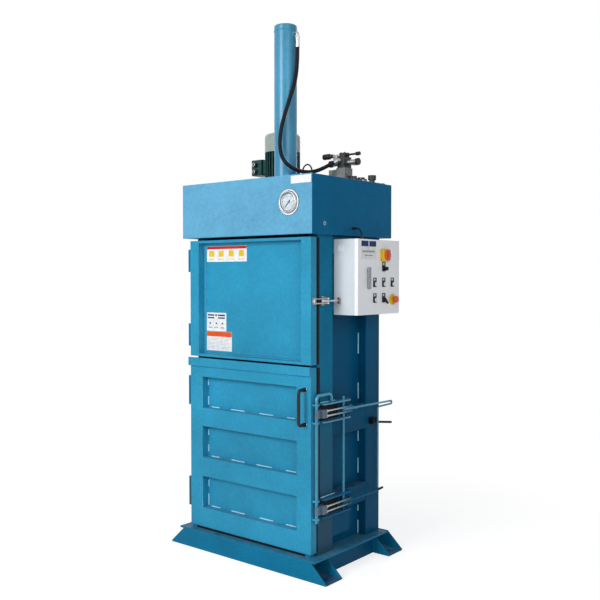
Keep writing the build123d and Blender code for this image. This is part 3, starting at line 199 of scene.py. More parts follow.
def rubbed_and_highlit_edges(group, place):
    """Lighter patches along the edges, from none to full: rubbed thin paint and painted highlight."""
    rounded = add(group, "Bevel", {"samples": 4}, Radius=0.0035)
    flat = add(group, "NewGeometry")
    likeness = add(group, "VectorMath", {"operation": "DOT_PRODUCT"})
    feed(group, likeness.inputs, (rounded.outputs["Normal"], flat.outputs["True Normal"]))
    edge = ramp(group, likeness.outputs["Value"], 0.97, 0.80)
    patches = ramp(group, noise(group, place, 24.0, 4.0, 0.7), 0.38, 0.62, 0.15, 0.9)
    return worked_out(group, "MULTIPLY", edge, patches)


def paint_group():
    """Sprayed enamel: uneven colour, orange peel, specks, edges lighter in patches as rubbed paint and painted
    highlight, painted shade darkening towards the floor and dust on upward faces.
    """
    group, entry, leave = new_group(
        "Sprayed enamel",
        [("Vector", "Place", (0, 0, 0)), ("Color", "Paint", (0, 0, 0, 1)), ("Float", "Specks", 0.3),
         ("Float", "Gloss", 0.34), ("Float", "Peel", 0.2), ("Float", "Mottling", 1.0), ("Float", "Shade low down", 0.0)])
    place = entry["Place"]
    cloud = noise(group, place, 2.2, 3.0, 0.55)
    mottle = noise(group, place, 64.0, 4.0, 0.7)
    tone = worked_out(group, "MULTIPLY", ramp(group, cloud, 0.3, 0.7, 0.84, 1.12),
                      ramp(group, mottle, 0.3, 0.7, 0.90, 1.10))
    evened = add(group, "Mix", {"data_type": "FLOAT"})
    feed(group, (evened.inputs[0], evened.inputs[2], evened.inputs[3]), (entry["Mottling"], 1.0, tone))
    paint = toned(group, entry["Paint"], evened.outputs[0])
    # lighter paint, for the specks and for the edges' painted highlight and rubbed paint
    bright = toned(group, paint, 1.7, saturation=0.82)
    specks = ramp(group, noise(group, place, 260.0, 2.0, 0.6), 0.60, 0.72)
    colour = mix_colour(group, worked_out(group, "MULTIPLY", specks, entry["Specks"]), paint, bright)
    # edges lighter in patches: rubbed paint and painted highlight
    colour = mix_colour(group, rubbed_and_highlit_edges(group, place), colour, bright)
    # painted shade: the paint darkens towards the floor, by height
    low_shade = ramp(group, upward_part(group, place), 1.05, 0.25)
    colour = mix_colour(group, worked_out(group, "MULTIPLY", low_shade, entry["Shade low down"]), colour, LOW_SHADE_COLOUR)
    facing_up = ramp(group, upward_part(group, add(group, "NewGeometry").outputs["Normal"]), 0.6, 1.0, 0.0, 0.30)
    dust = worked_out(group, "MULTIPLY", facing_up,
                      ramp(group, noise(group, place, 14.0, 5.0, 0.7), 0.35, 0.75))
    dusty = mix_colour(group, dust, colour, DUST)
    rough = worked_out(group, "MULTIPLY_ADD", dust, 1.2, entry["Gloss"])
    rough = worked_out(group, "MULTIPLY_ADD", cloud, 0.08, rough)
    peel = worked_out(group, "MULTIPLY", noise(group, place, 420.0, 1.0, 0.5), entry["Peel"])
    for socket, result in zip(leave, (dusty, rough, peel)):
        group.links.new(result, socket)
    return group


def clouded_group(name, cloud, tones, spread, grain):
    """Metal, plastic or rubber: cloudy tone and shine under a fine grain."""
    group, entry, leave = new_group(
        name, [("Vector", "Place", (0, 0, 0)), ("Color", "Tint", (0, 0, 0, 1)), ("Float", "Grain", 600.0),
               ("Float", "Gloss", 0.3), ("Float", "Clouding", 1.0)])
    patches = noise(group, entry["Place"], *cloud)
    colour = toned(group, entry["Tint"], ramp(group, patches, 0.3, 0.7, *tones), amount=entry["Clouding"])
    rough = worked_out(group, "MULTIPLY_ADD", patches, spread, entry["Gloss"])
    relief = noise(group, entry["Place"], entry["Grain"], *grain)
    for socket, result in zip(leave, (colour, rough, relief)):
        group.links.new(result, socket)
    return group


ENAMEL = paint_group()
METAL = clouded_group("Bare metal", (30.0, 5.0, 0.65), (0.72, 1.15), 0.25, (3.0, 0.6))
MOULDED = clouded_group("Moulded", (45.0, 4.0, 0.6), (0.86, 1.10), 0.22, (2.0, 0.5))


def dressed(name, group, settings, shader=None, bump=0.1, distance=0.0004):
    """A material whose colour, roughness and bump come from one of the groups."""
    material = bpy.data.materials.new(name)
    material.use_nodes = True
    tree = material.node_tree
    principled = tree.nodes["Principled BSDF"]
    where = add(tree, "TexCoord")
    effect = tree.nodes.new("ShaderNodeGroup")
    effect.node_tree = group
    for label, value in settings.items():
        effect.inputs[label].default_value = value
    tree.links.new(where.outputs["Object"], effect.inputs["Place"])
    tree.links.new(effect.outputs["Color"], principled.inputs["Base Color"])
    tree.links.new(effect.outputs["Roughness"], principled.inputs["Roughness"])
    relief = add(tree, "Bump", Strength=bump, Distance=distance)
    tree.links.new(effect.outputs["Height"], relief.inputs["Height"])
    tree.links.new(relief.outputs["Normal"], principled.inputs["Normal"])
    for label, value in (shader or {}).items():
        principled.inputs[label].default_value = value
    return material


def enamel(name, colour, specks=0.12, gloss=0.34, peel=0.3, shine=0.12, mottling=1.0, shade_low_down=0.0):
    """Sprayed and stoved paint."""
    settings = {"Paint": (*colour, 1), "Specks": specks, "Gloss": gloss, "Peel": peel, "Mottling": mottling,
                "Shade low down": shade_low_down}
    return dressed(name, ENAMEL, settings, {"Specular IOR Level": shine}, bump=0.5, distance=0.0010)


def metal(name, colour, gloss, grain=300.0, bump=0.08, clouding=1.0):
    """Bare, plated or polished metal."""
    settings = {"Tint": (*colour, 1), "Gloss": gloss, "Grain": grain, "Clouding": clouding}
    return dressed(name, METAL, settings, {"Metallic": 1.0}, bump=bump)


def moulded(name, colour, gloss, texture=600.0, bump=0.1, coat=0.0, shine=0.3):
    """Plastic or rubber."""
    settings = {"Tint": (*colour, 1), "Gloss": gloss, "Grain": texture}
    return dressed(name, MOULDED, settings, {"Coat Weight": coat, "Specular IOR Level": shine}, bump=bump)


def film(kind, colour):
    """Film or print of the plates."""
    return moulded(f"{kind} of the plates", colour, 0.35, bump=0.02, shine=0.15)


MATERIALS = {
    # base and body in a darker copy of the door paint: painted shade
    "base_blue": enamel("Darker blue enamel of the base, painted shade", SHADED_BODY_BLUE, specks=0.25, shine=0.07),
    # the body's paint darkens towards the floor: painted shade
    "body_blue": enamel("Darker blue enamel of the body, painted shade", SHADED_BODY_BLUE, specks=0.12, shine=0.06, shade_low_down=0.8),
    "door_blue": enamel("Blue enamel of the doors", PAINT_BLUE, specks=0.16),
    # the cover in a lighter copy of the paint: painted light
    "cover_blue": enamel("Blue enamel of the cover", LIT_COVER_BLUE, specks=0.08, shine=0.06),
    "cylinder_blue": enamel("Blue enamel of the cylinder", CYLINDER_BLUE, specks=0.06, gloss=0.26, shine=0.35),
    "motor_green": enamel("Green enamel on castings", MOTOR_GREEN, specks=0.1, peel=0.6, shine=0.3),
    "cowl_grey": enamel("Grey-green enamel", COWL_GREY, specks=0.05, shine=0.3),
    "box_grey": enamel("Grey powder coat", BOX_GREY, specks=0.0, gloss=0.36, peel=0.5, shine=1.0, mottling=0.3),
    "zinc_steel": metal("Zinc plate", ZINC, 0.22),
    "plain_steel": metal("Machined steel", STEEL, 0.30),
    "chrome_rod": metal("Hard chrome", CHROME, 0.0, grain=900.0, bump=0.01, clouding=0.15),
    "cast_black": enamel("Black enamel on castings", CAST_BLACK, specks=0.05, peel=1.0, shine=0.4),
    "black_plastic": moulded("Black plastic", PLASTIC_BLACK, 0.30),
    "black_rubber": moulded("Black rubber", RUBBER_BLACK, 0.40, texture=900.0, bump=0.2, shine=0.10),
    "red_plastic": moulded("Red plastic", RED, 0.20, coat=0.3),
    "orange_plastic": moulded("Red-orange plastic", ORANGE, 0.20, coat=0.3),
    "yellow_plastic": moulded("Yellow plastic", YELLOW, 0.28),
    "white_plastic": moulded("White plastic", WHITE, 0.28),
    "aluminium_block": metal("Machined aluminium", ALUMINIUM, 0.30, grain=500.0),
}
ROD_ENAMEL = enamel("Blue enamel on bars", ROD_BLUE, specks=0.2, gloss=0.20, shine=0.6)
# painted shade on the side sheets, rear posts and ends of the feet
SIDE_SHADE_ENAMEL = enamel("Dark blue enamel of the side sheets, painted shade", SIDE_SHADE_BLUE, specks=0.12, shine=0.05)
# painted shade on the cover's ends and back and on the lower lock bars
HALF_SHADE_ENAMEL = enamel("Blue enamel of the cover's ends", HALF_SHADE_BLUE, specks=0.08, shine=0.05)
# the box body darker than its door: painted shade
SHADED_BOX_ENAMEL = enamel("Darker grey powder coat of the box body, painted shade", SHADED_BOX_GREY, specks=0.0, gloss=0.36, peel=0.5,
                         shine=0.8, mottling=0.3)
# weld beads lighter than the paint: painted highlight
GLINTING_WELD_ENAMEL = enamel("Light blue enamel on weld beads, painted highlight", WELD_GLINT_BLUE, specks=0.3, gloss=0.25, shine=0.5)
JAW_GREY = enamel("Grey enamel on the hook jaws", CAST_GREY, specks=0.2, peel=0.8, shine=0.4)
GRIP_MAROON = moulded("Maroon plastic of the latch grip", MAROON, 0.25, coat=0.3)
PLATE_FILM = film("White film", FILM_WHITE)
GREY_FILM = film("Grey print", FILM_GREY)
NAVY_FILM = film("Navy print", FILM_NAVY)
CREAM_FILM = film("Cream print", FILM_CREAM)
RED_FILM = film("Red print", RED)
ORANGE_FILM = film("Orange print", ORANGE)
YELLOW_FILM = film("Yellow print", YELLOW)
BLACK_FILM = film("Black print", PLASTIC_BLACK)
DIAL_FILM = moulded("Pale face of the gauge", DIAL_WHITE, 0.40, bump=0.02)
BLOCK = enamel("Grey enamel of the manifold", BLOCK_GREY, specks=0.2, peel=0.5, shine=0.4)
HANDLE_PLASTIC = moulded("Grey plastic of the box handle", HANDLE_GREY, 0.35)
# the body's darker enamel, painted shade, also used on the hook legs and hinge straps
SHADED_BLUE_ENAMEL = MATERIALS["body_blue"]
GLASS = dressed("Window of the gauge", MOULDED, {"Tint": (0.75, 0.80, 0.82, 1), "Gloss": 0.02}, {"Alpha": 0.07},
                bump=0.0)


def dress_cad_nodes():
    """Give every CAD node the finish of its slot."""
    for name, node in NODES.items():
        node.data.materials.clear()
        node.data.materials.append(MATERIALS[SLOT_OF[name]])
        for face in node.data.polygons:
            face.material_index = 0


def part_finish(node, *choices):
    """Give faces of a CAD node other finishes, chosen by the middle of each face in millimetres."""
    mesh = NODES[node].data
    for number, (finish, chosen) in enumerate(choices, 1):
        mesh.materials.append(finish)
        for face in mesh.polygons:
            if chosen(face.center / MM):
                face.material_index = number


dress_cad_nodes()
# hook legs beyond the crank in the body's darker enamel: painted shade
part_finish("lock_hooks", (JAW_GREY, lambda at: at.y < -249), (SHADED_BLUE_ENAMEL, lambda at: at.y > -128))
part_finish("box_lock_handle", (HANDLE_PLASTIC, lambda at: at.x > 602))
part_finish("latch_lever", (GRIP_MAROON, lambda at: at.y > -151))
# side sheets and ribs in the darkest copy of the paint: painted shade
for sheets in ("chamber_walls", "wall_ribs"):
    part_finish(sheets, (SIDE_SHADE_ENAMEL, lambda at: True))
# rear posts darker: painted shade
part_finish("corner_posts", (SIDE_SHADE_ENAMEL, lambda at: at.y > 0))
part_finish("catch_bar", (ROD_ENAMEL, lambda at: True))
# lock bars below 450 mm in the darker copy: painted shade
for bars in ("lock_lever", "lock_brackets"):
    part_finish(bars, (ROD_ENAMEL, lambda at: True), (HALF_SHADE_ENAMEL, lambda at: at.z < 450))
# ends of the feet darker: painted shade
part_finish("base_frame", (SIDE_SHADE_ENAMEL, lambda at: abs(at.x) > 430))
part_finish("latch_base", (MATERIALS["cast_black"], lambda at: at.x < 449.5))
# ends and back of the cover darker: painted shade
part_finish("head_cover", (HALF_SHADE_ENAMEL, lambda at: abs(at.x) > 476 or at.y > 384))
# box body in the darker grey: painted shade
part_finish("control_box", (SHADED_BOX_ENAMEL, lambda at: True))
part_finish("gauge_case", (PLATE_FILM, lambda at: at.y < -352.5), (DIAL_FILM, lambda at: -353.5 < at.y < -349.5))
part_finish("solenoids", (MATERIALS["black_plastic"], lambda at: at.x > 343 or at.x < 173
                          or abs(at.y - VALVE_MIDDLE) > 20))
part_finish("directional_valve", (MATERIALS["black_plastic"], lambda at: at.x > 341))
part_finish("panel_electrics", (MATERIALS["white_plastic"], lambda at: at.x > 462 and 1516 < at.z < 1572),
            (MATERIALS["black_plastic"], lambda at: at.x > 470 and at.z > 1620))


# Making of shapes; all sizes are in millimetres

AXES = "XYZ"
TURNS = {"X": (0, math.pi / 2, 0), "Y": (math.pi / 2, 0, 0), "Z": (0, 0, 0)}


def select_only(piece):
    """Make one piece the only selected and active one."""
    deselect()
    piece.select_set(True)
    bpy.context.view_layer.objects.active = piece


def settled(piece):
    """Turn a piece's place, turn and size into its mesh."""
    select_only(piece)
    bpy.ops.object.transform_apply(location=True, rotation=True, scale=True)
    return piece


def blank(x, y, z):
    """A block between two corners, to be shaped further."""
    deselect()
    size = [(high - low) * MM for low, high in (x, y, z)]
    middle = [(low + high) / 2 * MM for low, high in (x, y, z)]
    bpy.ops.mesh.primitive_cube_add(size=1, location=middle, scale=size)
    return settled(bpy.context.object)


def round_blank(place, axis, radius, depth, sides=32):
    """A round or many-sided blank about a middle point, along one axis."""
    deselect()
    bpy.ops.mesh.primitive_cylinder_add(
        vertices=sides, radius=radius * MM, depth=depth * MM, location=Vector(place) * MM, rotation=TURNS[axis])
    return settled(bpy.context.object)


def ring_blank(place, axis, radius, thickness, flatness=1.0):
    """A rounded ring about a middle point, flattened along its axis."""
    deselect()
    bpy.ops.mesh.primitive_torus_add(
        major_segments=64, minor_segments=12, major_radius=radius * MM, minor_radius=thickness * MM,
        location=Vector(place) * MM, rotation=TURNS[axis])
    ring = settled(bpy.context.object)
    squeeze = [flatness if letter == axis else 1.0 for letter in AXES]
    bpy.ops.object.mode_set(mode="EDIT")
    bpy.ops.mesh.select_all(action="SELECT")
    bpy.ops.transform.resize(value=squeeze, center_override=Vector(place) * MM)
    bpy.ops.object.mode_set(mode="OBJECT")
    bpy.ops.object.shade_smooth()
    return ring


def pick_faces(piece, chosen):
    """Enter edit mode with only the chosen faces selected."""
    select_only(piece)
    bpy.ops.object.mode_set(mode="EDIT")
    bpy.ops.mesh.select_mode(type="FACE")
    bpy.ops.mesh.select_all(action="DESELECT")
    mesh = bmesh.from_edit_mesh(piece.data)
    for face in mesh.faces:
        if chosen(face):
            face.select_set(True)
    bmesh.update_edit_mesh(piece.data)


def set_in(piece, direction, edge, depth):
    """Inset the faces that look one way, and raise or sink what is inside."""
    aim = Vector(direction)
    pick_faces(piece, lambda face: face.normal.dot(aim) > 0.9)
    bpy.ops.mesh.inset(thickness=edge * MM, depth=depth * MM)
    bpy.ops.object.mode_set(mode="OBJECT")
    return piece


def round_corners(piece, letter, radius):
    """Round the edges that run along one axis."""
    pick_faces(piece, lambda face: False)
    mesh = bmesh.from_edit_mesh(piece.data)
    bpy.ops.mesh.select_mode(type="EDGE")
    for edge in mesh.edges:
        way = (edge.verts[1].co - edge.verts[0].co).normalized()
        if abs(way[AXES.index(letter)]) > 0.9:
            edge.select_set(True)
    bmesh.update_edit_mesh(piece.data)
    bpy.ops.mesh.bevel(offset=radius * MM, segments=4, affect="EDGES")
    bpy.ops.object.mode_set(mode="OBJECT")
    return piece


def softened(piece, width, segments=2):
    """Round the sharp edges and smooth the shading."""
    select_only(piece)
    rounding = piece.modifiers.new("Rounding", "BEVEL")
    rounding.width = width * MM
    rounding.segments = segments
    rounding.limit_method = "ANGLE"
    rounding.angle_limit = math.radians(30)
    bpy.ops.object.modifier_apply(modifier=rounding.name)
    bpy.ops.object.shade_smooth_by_angle(angle=math.radians(35))
    return piece


def on_circle(middle, radius, angles):
    """Places on a circle, at angles in radians."""
    return [(middle[0] + radius * math.cos(angle), middle[1] + radius * math.sin(angle)) for angle in angles]


def joined(pieces):
    """Several pieces as one; each keeps its own finish."""
    deselect()
    for piece in pieces:
        piece.select_set(True)
    bpy.context.view_layer.objects.active = pieces[0]
    if len(pieces) > 1:
        bpy.ops.object.join()
    return bpy.context.view_layer.objects.active


def coated(piece, finish):
    """Give a piece its finish."""
    piece.data.materials.clear()
    piece.data.materials.append(finish)
    return piece


def kept(piece, name, node):
    """Name a finished piece and let it move with the CAD node that carries it."""
    piece.name = name
    piece.data.name = name
    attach(piece, BODY_OF.get(node, "root"))
    return piece


def finished(piece, finish, name, node):
    """Keep a piece whose finish is that of one slot."""
    return kept(coated(piece, MATERIALS[finish]), name, node)


# CAD nodes that get rounded edges

def rounded_copy(node, width, shortest=25.0, sharp_left_of=-1000.0):
    """A copy of a CAD node whose long outer edges are rounded, shown in place of the node.

    Edges left of the given place stay sharp.
    """
    name = node + "_rounded"
    mesh = NODES[node].data.copy()
    piece = bpy.data.objects.new(name, mesh)
    bpy.context.scene.collection.objects.link(piece)
    select_only(piece)
    bpy.ops.object.mode_set(mode="EDIT")
    bpy.ops.mesh.select_all(action="SELECT")
    bpy.ops.mesh.remove_doubles(threshold=0.00002)
    bpy.ops.mesh.dissolve_limited(angle_limit=math.radians(0.6))
    bpy.ops.object.mode_set(mode="OBJECT")
    weights = mesh.attributes.new("bevel_weight_edge", "FLOAT", "EDGE")
    shape = bmesh.new()
    shape.from_mesh(mesh)
    marks = []
    for edge in shape.edges:
        outer = len(edge.link_faces) == 2 and edge.is_convex and edge.calc_face_angle(0) > math.radians(60)
        outer = outer and max(corner.co.x for corner in edge.verts) > sharp_left_of * MM
        marks.append(1.0 if outer and edge.calc_length() > shortest * MM else 0.0)
    shape.free()
    weights.data.foreach_set("value", marks)
    rounding = piece.modifiers.new("Rounding", "BEVEL")
    rounding.width = width * MM
    rounding.segments = 3
    rounding.limit_method = "WEIGHT"
    rounding.use_clamp_overlap = False
    bpy.ops.object.modifier_apply(modifier=rounding.name)
    bpy.ops.object.shade_smooth_by_angle(angle=math.radians(35))
    evened = piece.modifiers.new("Even shading", "WEIGHTED_NORMAL")
    evened.keep_sharp = True
    bpy.ops.object.modifier_apply(modifier=evened.name)
    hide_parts(node)
    return kept(piece, name, node)


rounded_copy("head_cover", 4.0)
rounded_copy("lower_door", 3.0, sharp_left_of=-440)
rounded_copy("upper_door", 3.0, sharp_left_of=-440)
rounded_copy("base_frame", 3.0)
rounded_copy("base_plate", 1.5)
rounded_copy("wall_ribs", 3.0)
rounded_copy("tank_lid", 1.5)
rounded_copy("lock_brackets", 1.2, shortest=12.0)
rounded_copy("lever_rest", 2.0, shortest=12.0)
coated(rounded_copy("valve_manifold", 1.0, shortest=12.0), BLOCK)


# Weld beads

def weld_beads(name, node, runs, radius=4.2):
    """Stitch welds: one ripple, copied along every run from its start to its end, in a light blue that is a
    painted highlight.
    """
    deselect()
    bpy.ops.mesh.primitive_uv_sphere_add(segments=8, ring_count=5, radius=radius * MM)
    ripple = bpy.context.object
    bpy.ops.object.mode_set(mode="EDIT")
    bpy.ops.mesh.select_all(action="SELECT")
    bpy.ops.transform.resize(value=(1.15, 1.0, 0.8))
    bpy.ops.object.mode_set(mode="OBJECT")
    line = bmesh.new()
    for number, (start, end) in enumerate(runs):
        start, end = Vector(start) * MM, Vector(end) * MM
        along = (end - start).normalized()
        turn = along.to_track_quat("Z", "Y").to_matrix().to_4x4()
        steps = max(2, round((end - start).length / (radius * 1.05 * MM)))
        for step in range(steps + 1):
            swell = 1.0 + 0.14 * math.sin(2.3 * step + number)
            copy = ripple.data.copy()
            copy.transform(Matrix.Translation(start.lerp(end, step / steps)) @ turn @ Matrix.Scale(swell, 4))
            line.from_mesh(copy)
            bpy.data.meshes.remove(copy)
    line.to_mesh(ripple.data)
    line.free()
    select_only(ripple)
    bpy.ops.object.shade_smooth()
    return kept(coated(ripple, GLINTING_WELD_ENAMEL), name, node)


def level_runs(y, z, spans):
    """Runs across the door at one height."""
    return [((low, y, z), (high, y, z)) for low, high in spans]


def upright_runs(x, y, spans):
    """Runs up an edge."""
    return [((x, y, low), (x, y, high)) for low, high in spans]


PANEL_WELD = DOOR_FACE - 0.6
SIDE_WELDS = ((1135, 1248), (880, 965), (640, 692), (458, 538), (240, 269), (114, 183))
weld_beads("lower_door_welds", "lower_door",
           level_runs(PANEL_WELD, 812.4, ((-319, -265), (-163, -67), (51, 144), (250, 299)))
           + level_runs(PANEL_WELD, 526.4, ((-320, -263), (-164, -70), (29, 132), (241, 307)))
           + level_runs(PANEL_WELD, 234.4, ((-322, -258), (-165, -66), (50, 144), (241, 307)))
           + upright_runs(-349.4, PANEL_WELD, ((239, 268), (263, 302), (351, 385), (554, 590), (649, 678),
                                               (826, 871), (939, 968))))
weld_beads("right_side_welds", "wall_ribs", upright_runs(391.4, 176.4, SIDE_WELDS))
weld_beads("left_side_welds", "wall_ribs", upright_runs(-391.4, 176.4, SIDE_WELDS))
weld_beads("lock_plate_welds", "lock_brackets",
           [((445.4, -240, height + aside), (445.4, -120, height + aside))
            for height in LOCK_HEIGHTS for aside in (-51.4, 51.4)], radius=2.6)
weld_beads("handle_welds", "door_handle",
           [[(x, -324.6, z) for x, z in on_circle((405, height), 13.4, (start, start + 0.5))]
            for height in (799, 981) for start in (0.0, 1.57, 3.14, 4.71)], radius=1.8)


# Bare plates and films

def film_plate(name, node, axis, face, span_u, span_v, films):
    """A thin plate on a flat face, with plain printed fields, each as its span both ways and its finish.

    The face lies across one axis at the given level; a negative axis looks to the low side.
    """
    side = -1 if axis.startswith("-") else 1
    letter = axis[-1]

    def slab(u, v, low, high):
        spans = {"X": [None, u, v], "Y": [u, None, v], "Z": [u, v, None]}[letter]
        spans[AXES.index(letter)] = sorted((face + side * low, face + side * high))
        return blank(*spans)

    plate_top, print_top = 0.9, 1.05
    plate = round_corners(slab(span_u, span_v, 0.0, plate_top), letter, 2.0)
    parts = [coated(softened(plate, 0.25, 1), PLATE_FILM)]
    for u, v, finish in films:
        parts.append(coated(softened(slab(u, v, plate_top, print_top), 0.05, 1), finish))
    return kept(joined(parts), name, node)


FEED_SYMBOLS = [((low, high), (1680, 1714), YELLOW_FILM)
                for low, high in ((-340, -300), (-263, -224), (-185, -146), (-106, -68))]
FEED_BARS = [((low, high), (1662, 1669), CREAM_FILM)
             for low, high in ((-347, -297), (-272, -222), (-188, -140), (-111, -63))]
film_plate("feed_door_plate", "upper_door", "-Y", DOOR_FACE, (-359, -46), (1651, 1739),
           [((-358, -47), (1723, 1738), RED_FILM)] + FEED_SYMBOLS + FEED_BARS)
film_plate("upper_notice_plate", "upper_door", "-Y", DOOR_FACE, (-361, -205), (1254, 1360),
           [((low, high), (1341, 1350), NAVY_FILM) for low, high in ((-353, -301), (-293, -278), (-270, -215))]
           + [((low, high), (1326, 1334), NAVY_FILM) for low, high in ((-353, -301), (-270, -215))]
           + [((low, high), (1271, 1277), GREY_FILM) for low, high in ((-347, -317), (-300, -270), (-250, -222))]
           + [((x - 5, x + 5), (1294, 1304), BLACK_FILM) for x in (-334, -284, -236)])
film_plate("lower_notice_plate", "upper_door", "-Y", DOOR_FACE, (-361, -162), (1142, 1252),
           [((-360, -163), (1223, 1251), ORANGE_FILM)]
           + [((-353, -171 - 14 * (row % 3)), (1211 - 8 * row, 1212.5 - 8 * row), GREY_FILM) for row in range(8)])
film_plate("cover_front_plate", "head_cover", "-Y", -354, (338, 471), (2046, 2086), [])
film_plate("box_front_plate", "box_door", "X", 600, (-96, 43), (1658, 1756),
           [((-95, -30), (1726, 1755), NAVY_FILM), ((-22, 42), (1726, 1755), NAVY_FILM),
            ((-82, 28), (1695, 1704), GREY_FILM), ((-66, 12), (1676, 1681), GREY_FILM)])
film_plate("box_side_plate", "control_box", "-Y", -126, (472, 511), (1701, 1731), [])


# Hinge straps

def hinge_straps(name, node, hinges):
    """Bent straps on a door's left edge that wrap the front of its hinge barrels."""
    door_edge, bend = -445, -459
    front, back = -321, -312
    thickness, wrap, taper = 8, 31, 0.86
    straps = []
    for low, high in hinges:
        arm = blank((bend, door_edge), (front, back), (low, high))
        pick_faces(arm, lambda face: face.normal.x < -0.9)
        bpy.ops.mesh.extrude_region_move(TRANSFORM_OT_translate={"value": (-thickness * MM, 0, 0)})
        bpy.ops.object.mode_set(mode="OBJECT")
        pick_faces(arm, lambda face: face.normal.y > 0.9 and face.calc_center_median().x < bend * MM)
        bpy.ops.mesh.extrude_region_move(TRANSFORM_OT_translate={"value": (0, wrap * MM, 0)})
        bpy.ops.transform.resize(value=(1, 1, taper))
        bpy.ops.object.mode_set(mode="OBJECT")
        straps.append(softened(arm, 3.0, 3))
    # straps in the body's darker enamel: painted shade
    return kept(coated(joined(straps), SHADED_BLUE_ENAMEL), name, node)


hinge_straps("lower_hinge_straps", "lower_door", ((821, 991), (230, 400)))
hinge_straps("upper_hinge_straps", "upper_door", ((1593, 1723), (1164, 1294)))


# Fastenings

def hexagon_head(place, axis, across, height):
    """A hexagon head with a chamfered crown on its round flange."""
    offset = Vector([height / 2 if letter == axis[-1] else 0 for letter in AXES])
    side = -1 if axis.startswith("-") else 1
    head = round_blank(Vector(place) + side * offset, axis[-1], across / 2, height, sides=6)
    aim = Vector([side if letter == axis[-1] else 0 for letter in AXES])
    set_in(head, aim, across * 0.09, across * 0.03)
    washer = round_blank(Vector(place) + side * offset * 0.3, axis[-1], across * 0.68, height * 0.3, sides=24)
    return joined([softened(head, across * 0.03, 1), softened(washer, height * 0.06, 1)])


def heads(name, node, places, axis, across, height, finish=None):
    """The same head at several places, modelled once and copied."""
    first = hexagon_head(places[0], axis, across, height)
    copies = [first]
    for place in places[1:]:
        copy = first.copy()
        copy.data = first.data.copy()
        copy.data.transform(Matrix.Translation((Vector(place) - Vector(places[0])) * MM))
        bpy.context.scene.collection.objects.link(copy)
        copies.append(copy)
    return kept(coated(joined(copies), finish or MATERIALS["zinc_steel"]), name, node)


heads("motor_flange_bolts", "motor_body",
      [(x, y, 2118) for x, y in on_circle(MOTOR, 99, [math.radians(42 + 72 * step) for step in range(5)])],
      "Z", 14, 7)
heads("terminal_lid_screws", "motor_terminal_box",
      [(-428, y, z) for y in (194, 270) for z in (2206, 2280)], "-X", 8, 3.5)
heads("gauge_flange_screws", "gauge_case",
      [(x, -357, z) for x, z in on_circle(GAUGE, 61.5, [math.radians(90 + 120 * step) for step in range(3)])],
      "-Y", 7, 2.5)
heads("valve_screws", "directional_valve",
      [(x, y, 2278) for x in (245, 271) for y in (210, 240)], "Z", 7, 4, MATERIALS["black_plastic"])
heads("latch_base_screws", "latch_base", [(449, -200, z) for z in (1425, 1455)], "X", 8, 3)
heads("latch_keeper_screws", "latch_keeper", [(445, -305, 1440)], "X", 6, 2)
heads("filter_screws", "tank_breather",
      [(x, y, 2124) for x, y in on_circle((345, 268), 27, (0.5, 2.07, 3.64, 5.21))], "Z", 7, 4)
heads("gland_nuts", "motor_terminal_box", [(-393, 168, z) for z in GLANDS], "-Y", 26, 6, MATERIALS["cast_black"])
gland_rings = [ring_blank((-393, 161.5, z), "Y", 9.5, 2.6, 0.8) for z in GLANDS]
finished(joined(gland_rings), "zinc_steel", "gland_rings", "motor_terminal_box")


# Gauge

def numeral(text, place, size, axis="-Y"):
    """A plain number or word as a thin mesh, facing the front or the right."""
    deselect()
    turn = (math.pi / 2, 0, 0) if axis == "-Y" else (math.pi / 2, 0, math.pi / 2)
    bpy.ops.object.text_add(location=(0, 0, 0))
    figure = bpy.context.object
    figure.data.body = text
    figure.data.size = size * MM
    figure.data.align_x = "CENTER"
    figure.data.align_y = "CENTER"
    figure.data.extrude = 0.1 * MM
    figure.data.resolution_u = 2
    bpy.ops.object.convert(target="MESH")
    figure = bpy.context.object
    figure.location = Vector(place) * MM
    figure.rotation_euler = turn
    return coated(settled(figure), BLACK_FILM)


def gauge_scale():
    """Ticks and numbers of the dial, from the lower left round to the lower right."""
    marks = []
    middle = Vector((GAUGE[0], 0, GAUGE[1])) * MM
    for step in range(26):
        long = step % 5 == 0
        angle = math.radians(225 - 270 * step / 25)
        inner = 37.5 if long else 40.5
        tick = blank((inner, 44.5), (-353.35, -353.0), (-0.7 if long else -0.35, 0.7 if long else 0.35))
        tick.data.transform(Matrix.Translation(middle) @ Matrix.Rotation(-angle, 4, "Y"))
        marks.append(coated(tick, BLACK_FILM))
        if long:
            x, z = on_circle(GAUGE, 31, [angle])[0]
            marks.append(numeral(str(step * 10), (x, -353.2, z), 7.5))
    return kept(joined(marks), "gauge_scale", "gauge_case")


def on_gauge(y):
    """A place on the gauge's middle line."""
    return GAUGE[0], y, GAUGE[1]


gauge_scale()
finished(ring_blank(on_gauge(-367), "Y", 52, 4.4, 0.7), "zinc_steel", "gauge_bezel", "gauge_case")
gauge_seals = [ring_blank(on_gauge(y), "Y", radius, thickness)
               for y, radius, thickness in ((-356.5, 57.5, 1.6), (-354.8, 67.0, 1.5), (-366.0, 47.0, 1.4))]
finished(joined(gauge_seals), "black_rubber", "gauge_seals", "gauge_case")
window = softened(set_in(round_blank(on_gauge(-365), "Y", 48.2, 2.0, sides=64), (0, -1, 0), 6, 0.6), 0.2, 1)
kept(coated(window, GLASS), "gauge_window", "gauge_case")
hub = softened(set_in(round_blank(on_gauge(-358.2), "Y", 5.2, 2.4), (0, -1, 0), 1.5, -0.6), 0.3)
finished(hub, "black_plastic", "needle_hub", "gauge_needle")


# Control box

